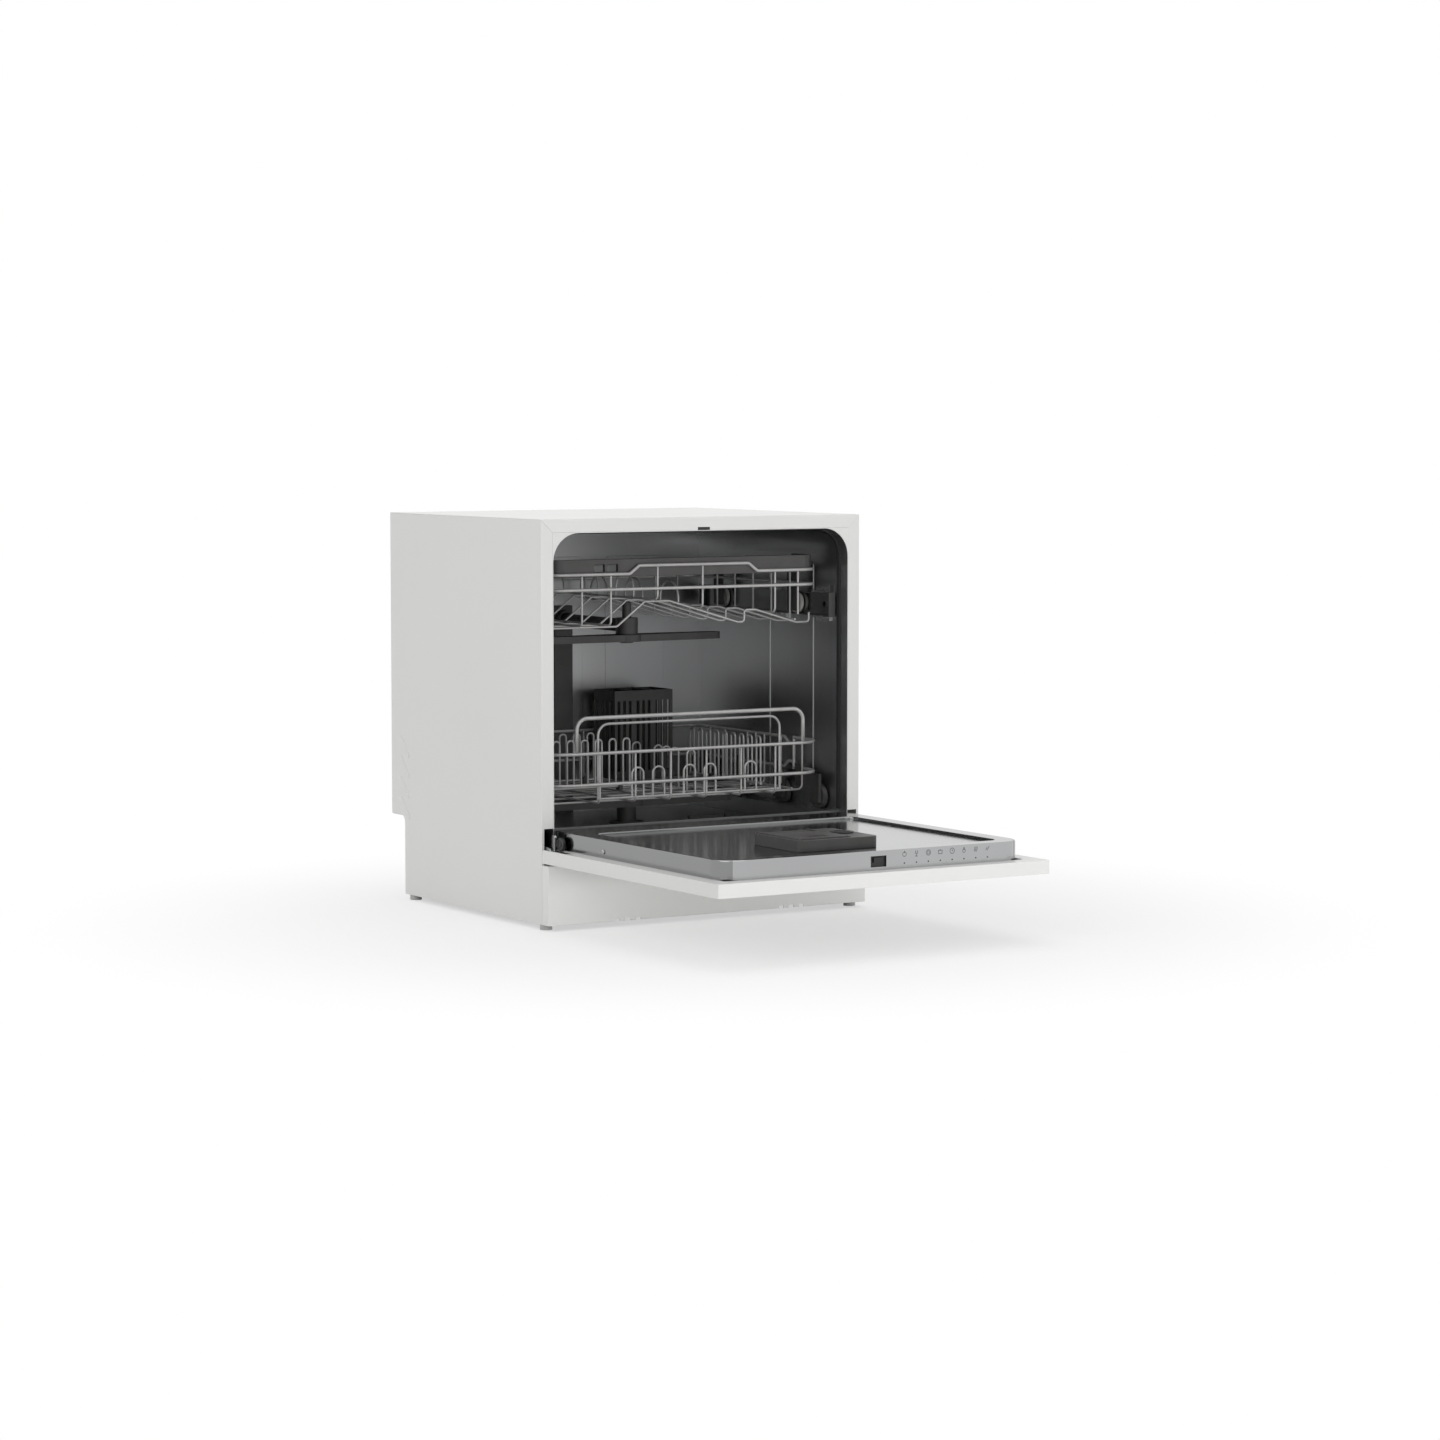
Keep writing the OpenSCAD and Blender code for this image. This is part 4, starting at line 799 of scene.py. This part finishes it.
def backdrop_material(name, level):
    """Pale floor that the camera and glossy surfaces see as white, with the object's soft shadow kept."""
    made = bpy.data.materials.new(name)
    made.use_nodes = True
    tree = made.node_tree
    shader = tree.nodes["Principled BSDF"]
    shader.inputs["Base Color"].default_value = (level, level, level, 1)
    shader.inputs["Roughness"].default_value = 0.9
    shader.inputs["Specular IOR Level"].default_value = 0.1
    # away from the object the floor turns into the background's white for the eye and for gloss,
    # and near it keeps part of the shadow
    out = tree.nodes["Material Output"]
    place = tree.nodes.new("ShaderNodeTexCoord")
    reach = tree.nodes.new("ShaderNodeVectorMath")
    reach.operation = "LENGTH"
    far = tree.nodes.new("ShaderNodeMapRange")
    far.inputs["From Min"].default_value = 0.4
    far.inputs["From Max"].default_value = 1.05
    far.inputs["To Min"].default_value = 0.55
    far.interpolation_type = "SMOOTHSTEP"
    part = tree.nodes.new("ShaderNodeMath")
    part.operation = "MULTIPLY"
    glow = tree.nodes.new("ShaderNodeEmission")
    glow.inputs["Strength"].default_value = 1.0
    mix = tree.nodes.new("ShaderNodeMixShader")
    tree.links.new(place.outputs["Object"], reach.inputs[0])
    tree.links.new(reach.outputs["Value"], far.inputs["Value"])
    tree.links.new(far.outputs["Result"], part.inputs[0])
    tree.links.new(seen_directly(tree), part.inputs[1])
    tree.links.new(part.outputs["Value"], mix.inputs["Fac"])
    tree.links.new(shader.outputs["BSDF"], mix.inputs[1])
    tree.links.new(glow.outputs["Emission"], mix.inputs[2])
    tree.links.new(mix.outputs["Shader"], out.inputs["Surface"])
    return made


class DISHWASHER_OT_stage(bpy.types.Operator):
    """Set up the pale floor, the soft lamps, the world and the camera"""

    bl_idname = "dishwasher.stage"
    bl_label = "Stage"

    def execute(self, context):
        scene = context.scene
        floor_size = 24
        bpy.ops.mesh.primitive_plane_add(size=floor_size, location=(0, 0, 0))
        floor = bpy.context.object
        floor.name = "studio_floor"
        floor.data.materials.append(backdrop_material("Studio floor", 0.95))
        area_lamp("key_lamp", (-3.6, -1.6, 2.2), (0, 0, 0.3), 40, 2.6, 2.6)
        fill = area_lamp("fill_lamp", (0.5, -2.6, 0.16), (0, 0, 0.06), 21, 1.8, 0.24)
        # it lights the plinth below the door and leaves no mark in the steel
        fill.visible_glossy = False
        area_lamp("top_lamp", (0.2, 0.6, 3.8), (0, 0, 0.3), 40, 3.0, 3.0)
        world = bpy.data.worlds.new("Studio world")
        scene.world = world
        world.use_nodes = True
        tree = world.node_tree
        tree.nodes.clear()
        out = tree.nodes.new("ShaderNodeOutputWorld")
        light = tree.nodes.new("ShaderNodeBackground")
        light.inputs["Color"].default_value = (1, 1, 1, 1)
        light.inputs["Strength"].default_value = 0.46
        seen = tree.nodes.new("ShaderNodeBackground")
        seen.inputs["Color"].default_value = (1, 1, 1, 1)
        seen.inputs["Strength"].default_value = 1.0
        mix = tree.nodes.new("ShaderNodeMixShader")
        tree.links.new(seen_directly(tree), mix.inputs["Fac"])
        tree.links.new(light.outputs["Background"], mix.inputs[1])
        tree.links.new(seen.outputs["Background"], mix.inputs[2])
        tree.links.new(mix.outputs["Shader"], out.inputs["Surface"])
        data = bpy.data.cameras.new("camera")
        data.lens = 97.1
        data.sensor_width = 36
        data.clip_start = 0.05
        camera = bpy.data.objects.new("camera", data)
        scene.collection.objects.link(camera)
        camera.location = (-2.990, -4.887, 0.749)
        camera.rotation_euler = tuple(math.radians(a) for a in (85.465, 0, -31.696))
        scene.camera = camera
        scene.view_settings.view_transform = "Standard"
        return {"FINISHED"}


# ---------------------------------------------------------------- panel and registration


class DISHWASHER_PT_panel(bpy.types.Panel):
    """Lists the steps that dress the dishwasher"""

    bl_idname = "DISHWASHER_PT_panel"
    bl_label = "Dishwasher"
    bl_space_type = "VIEW_3D"
    bl_region_type = "UI"
    bl_category = "Dishwasher"

    def draw(self, context):
        layout = self.layout
        for name in DishwasherSettings.__annotations__:
            layout.prop(context.scene.dishwasher, name)
        for step in STEPS:
            layout.operator(step.bl_idname)


STEPS = (
    DISHWASHER_OT_stage,
    DISHWASHER_OT_finishes,
    DISHWASHER_OT_casing,
    DISHWASHER_OT_tub,
    DISHWASHER_OT_liner,
    DISHWASHER_OT_mouldings,
    DISHWASHER_OT_handle,
    DISHWASHER_OT_rollers,
    DISHWASHER_OT_guards,
    DISHWASHER_OT_vents,
    DISHWASHER_OT_keys,
    DISHWASHER_OT_fixings,
)
CLASSES = (DishwasherSettings, DISHWASHER_PT_panel) + STEPS


def register():
    for cls in CLASSES:
        bpy.utils.register_class(cls)
    bpy.types.Scene.dishwasher = bpy.props.PointerProperty(type=DishwasherSettings)


def unregister():
    del bpy.types.Scene.dishwasher
    for cls in reversed(CLASSES):
        bpy.utils.unregister_class(cls)


def main():
    register()
    for step in STEPS:
        group, name = step.bl_idname.split(".")
        getattr(getattr(bpy.ops, group), name)()


if __name__ == "__main__":
    main()
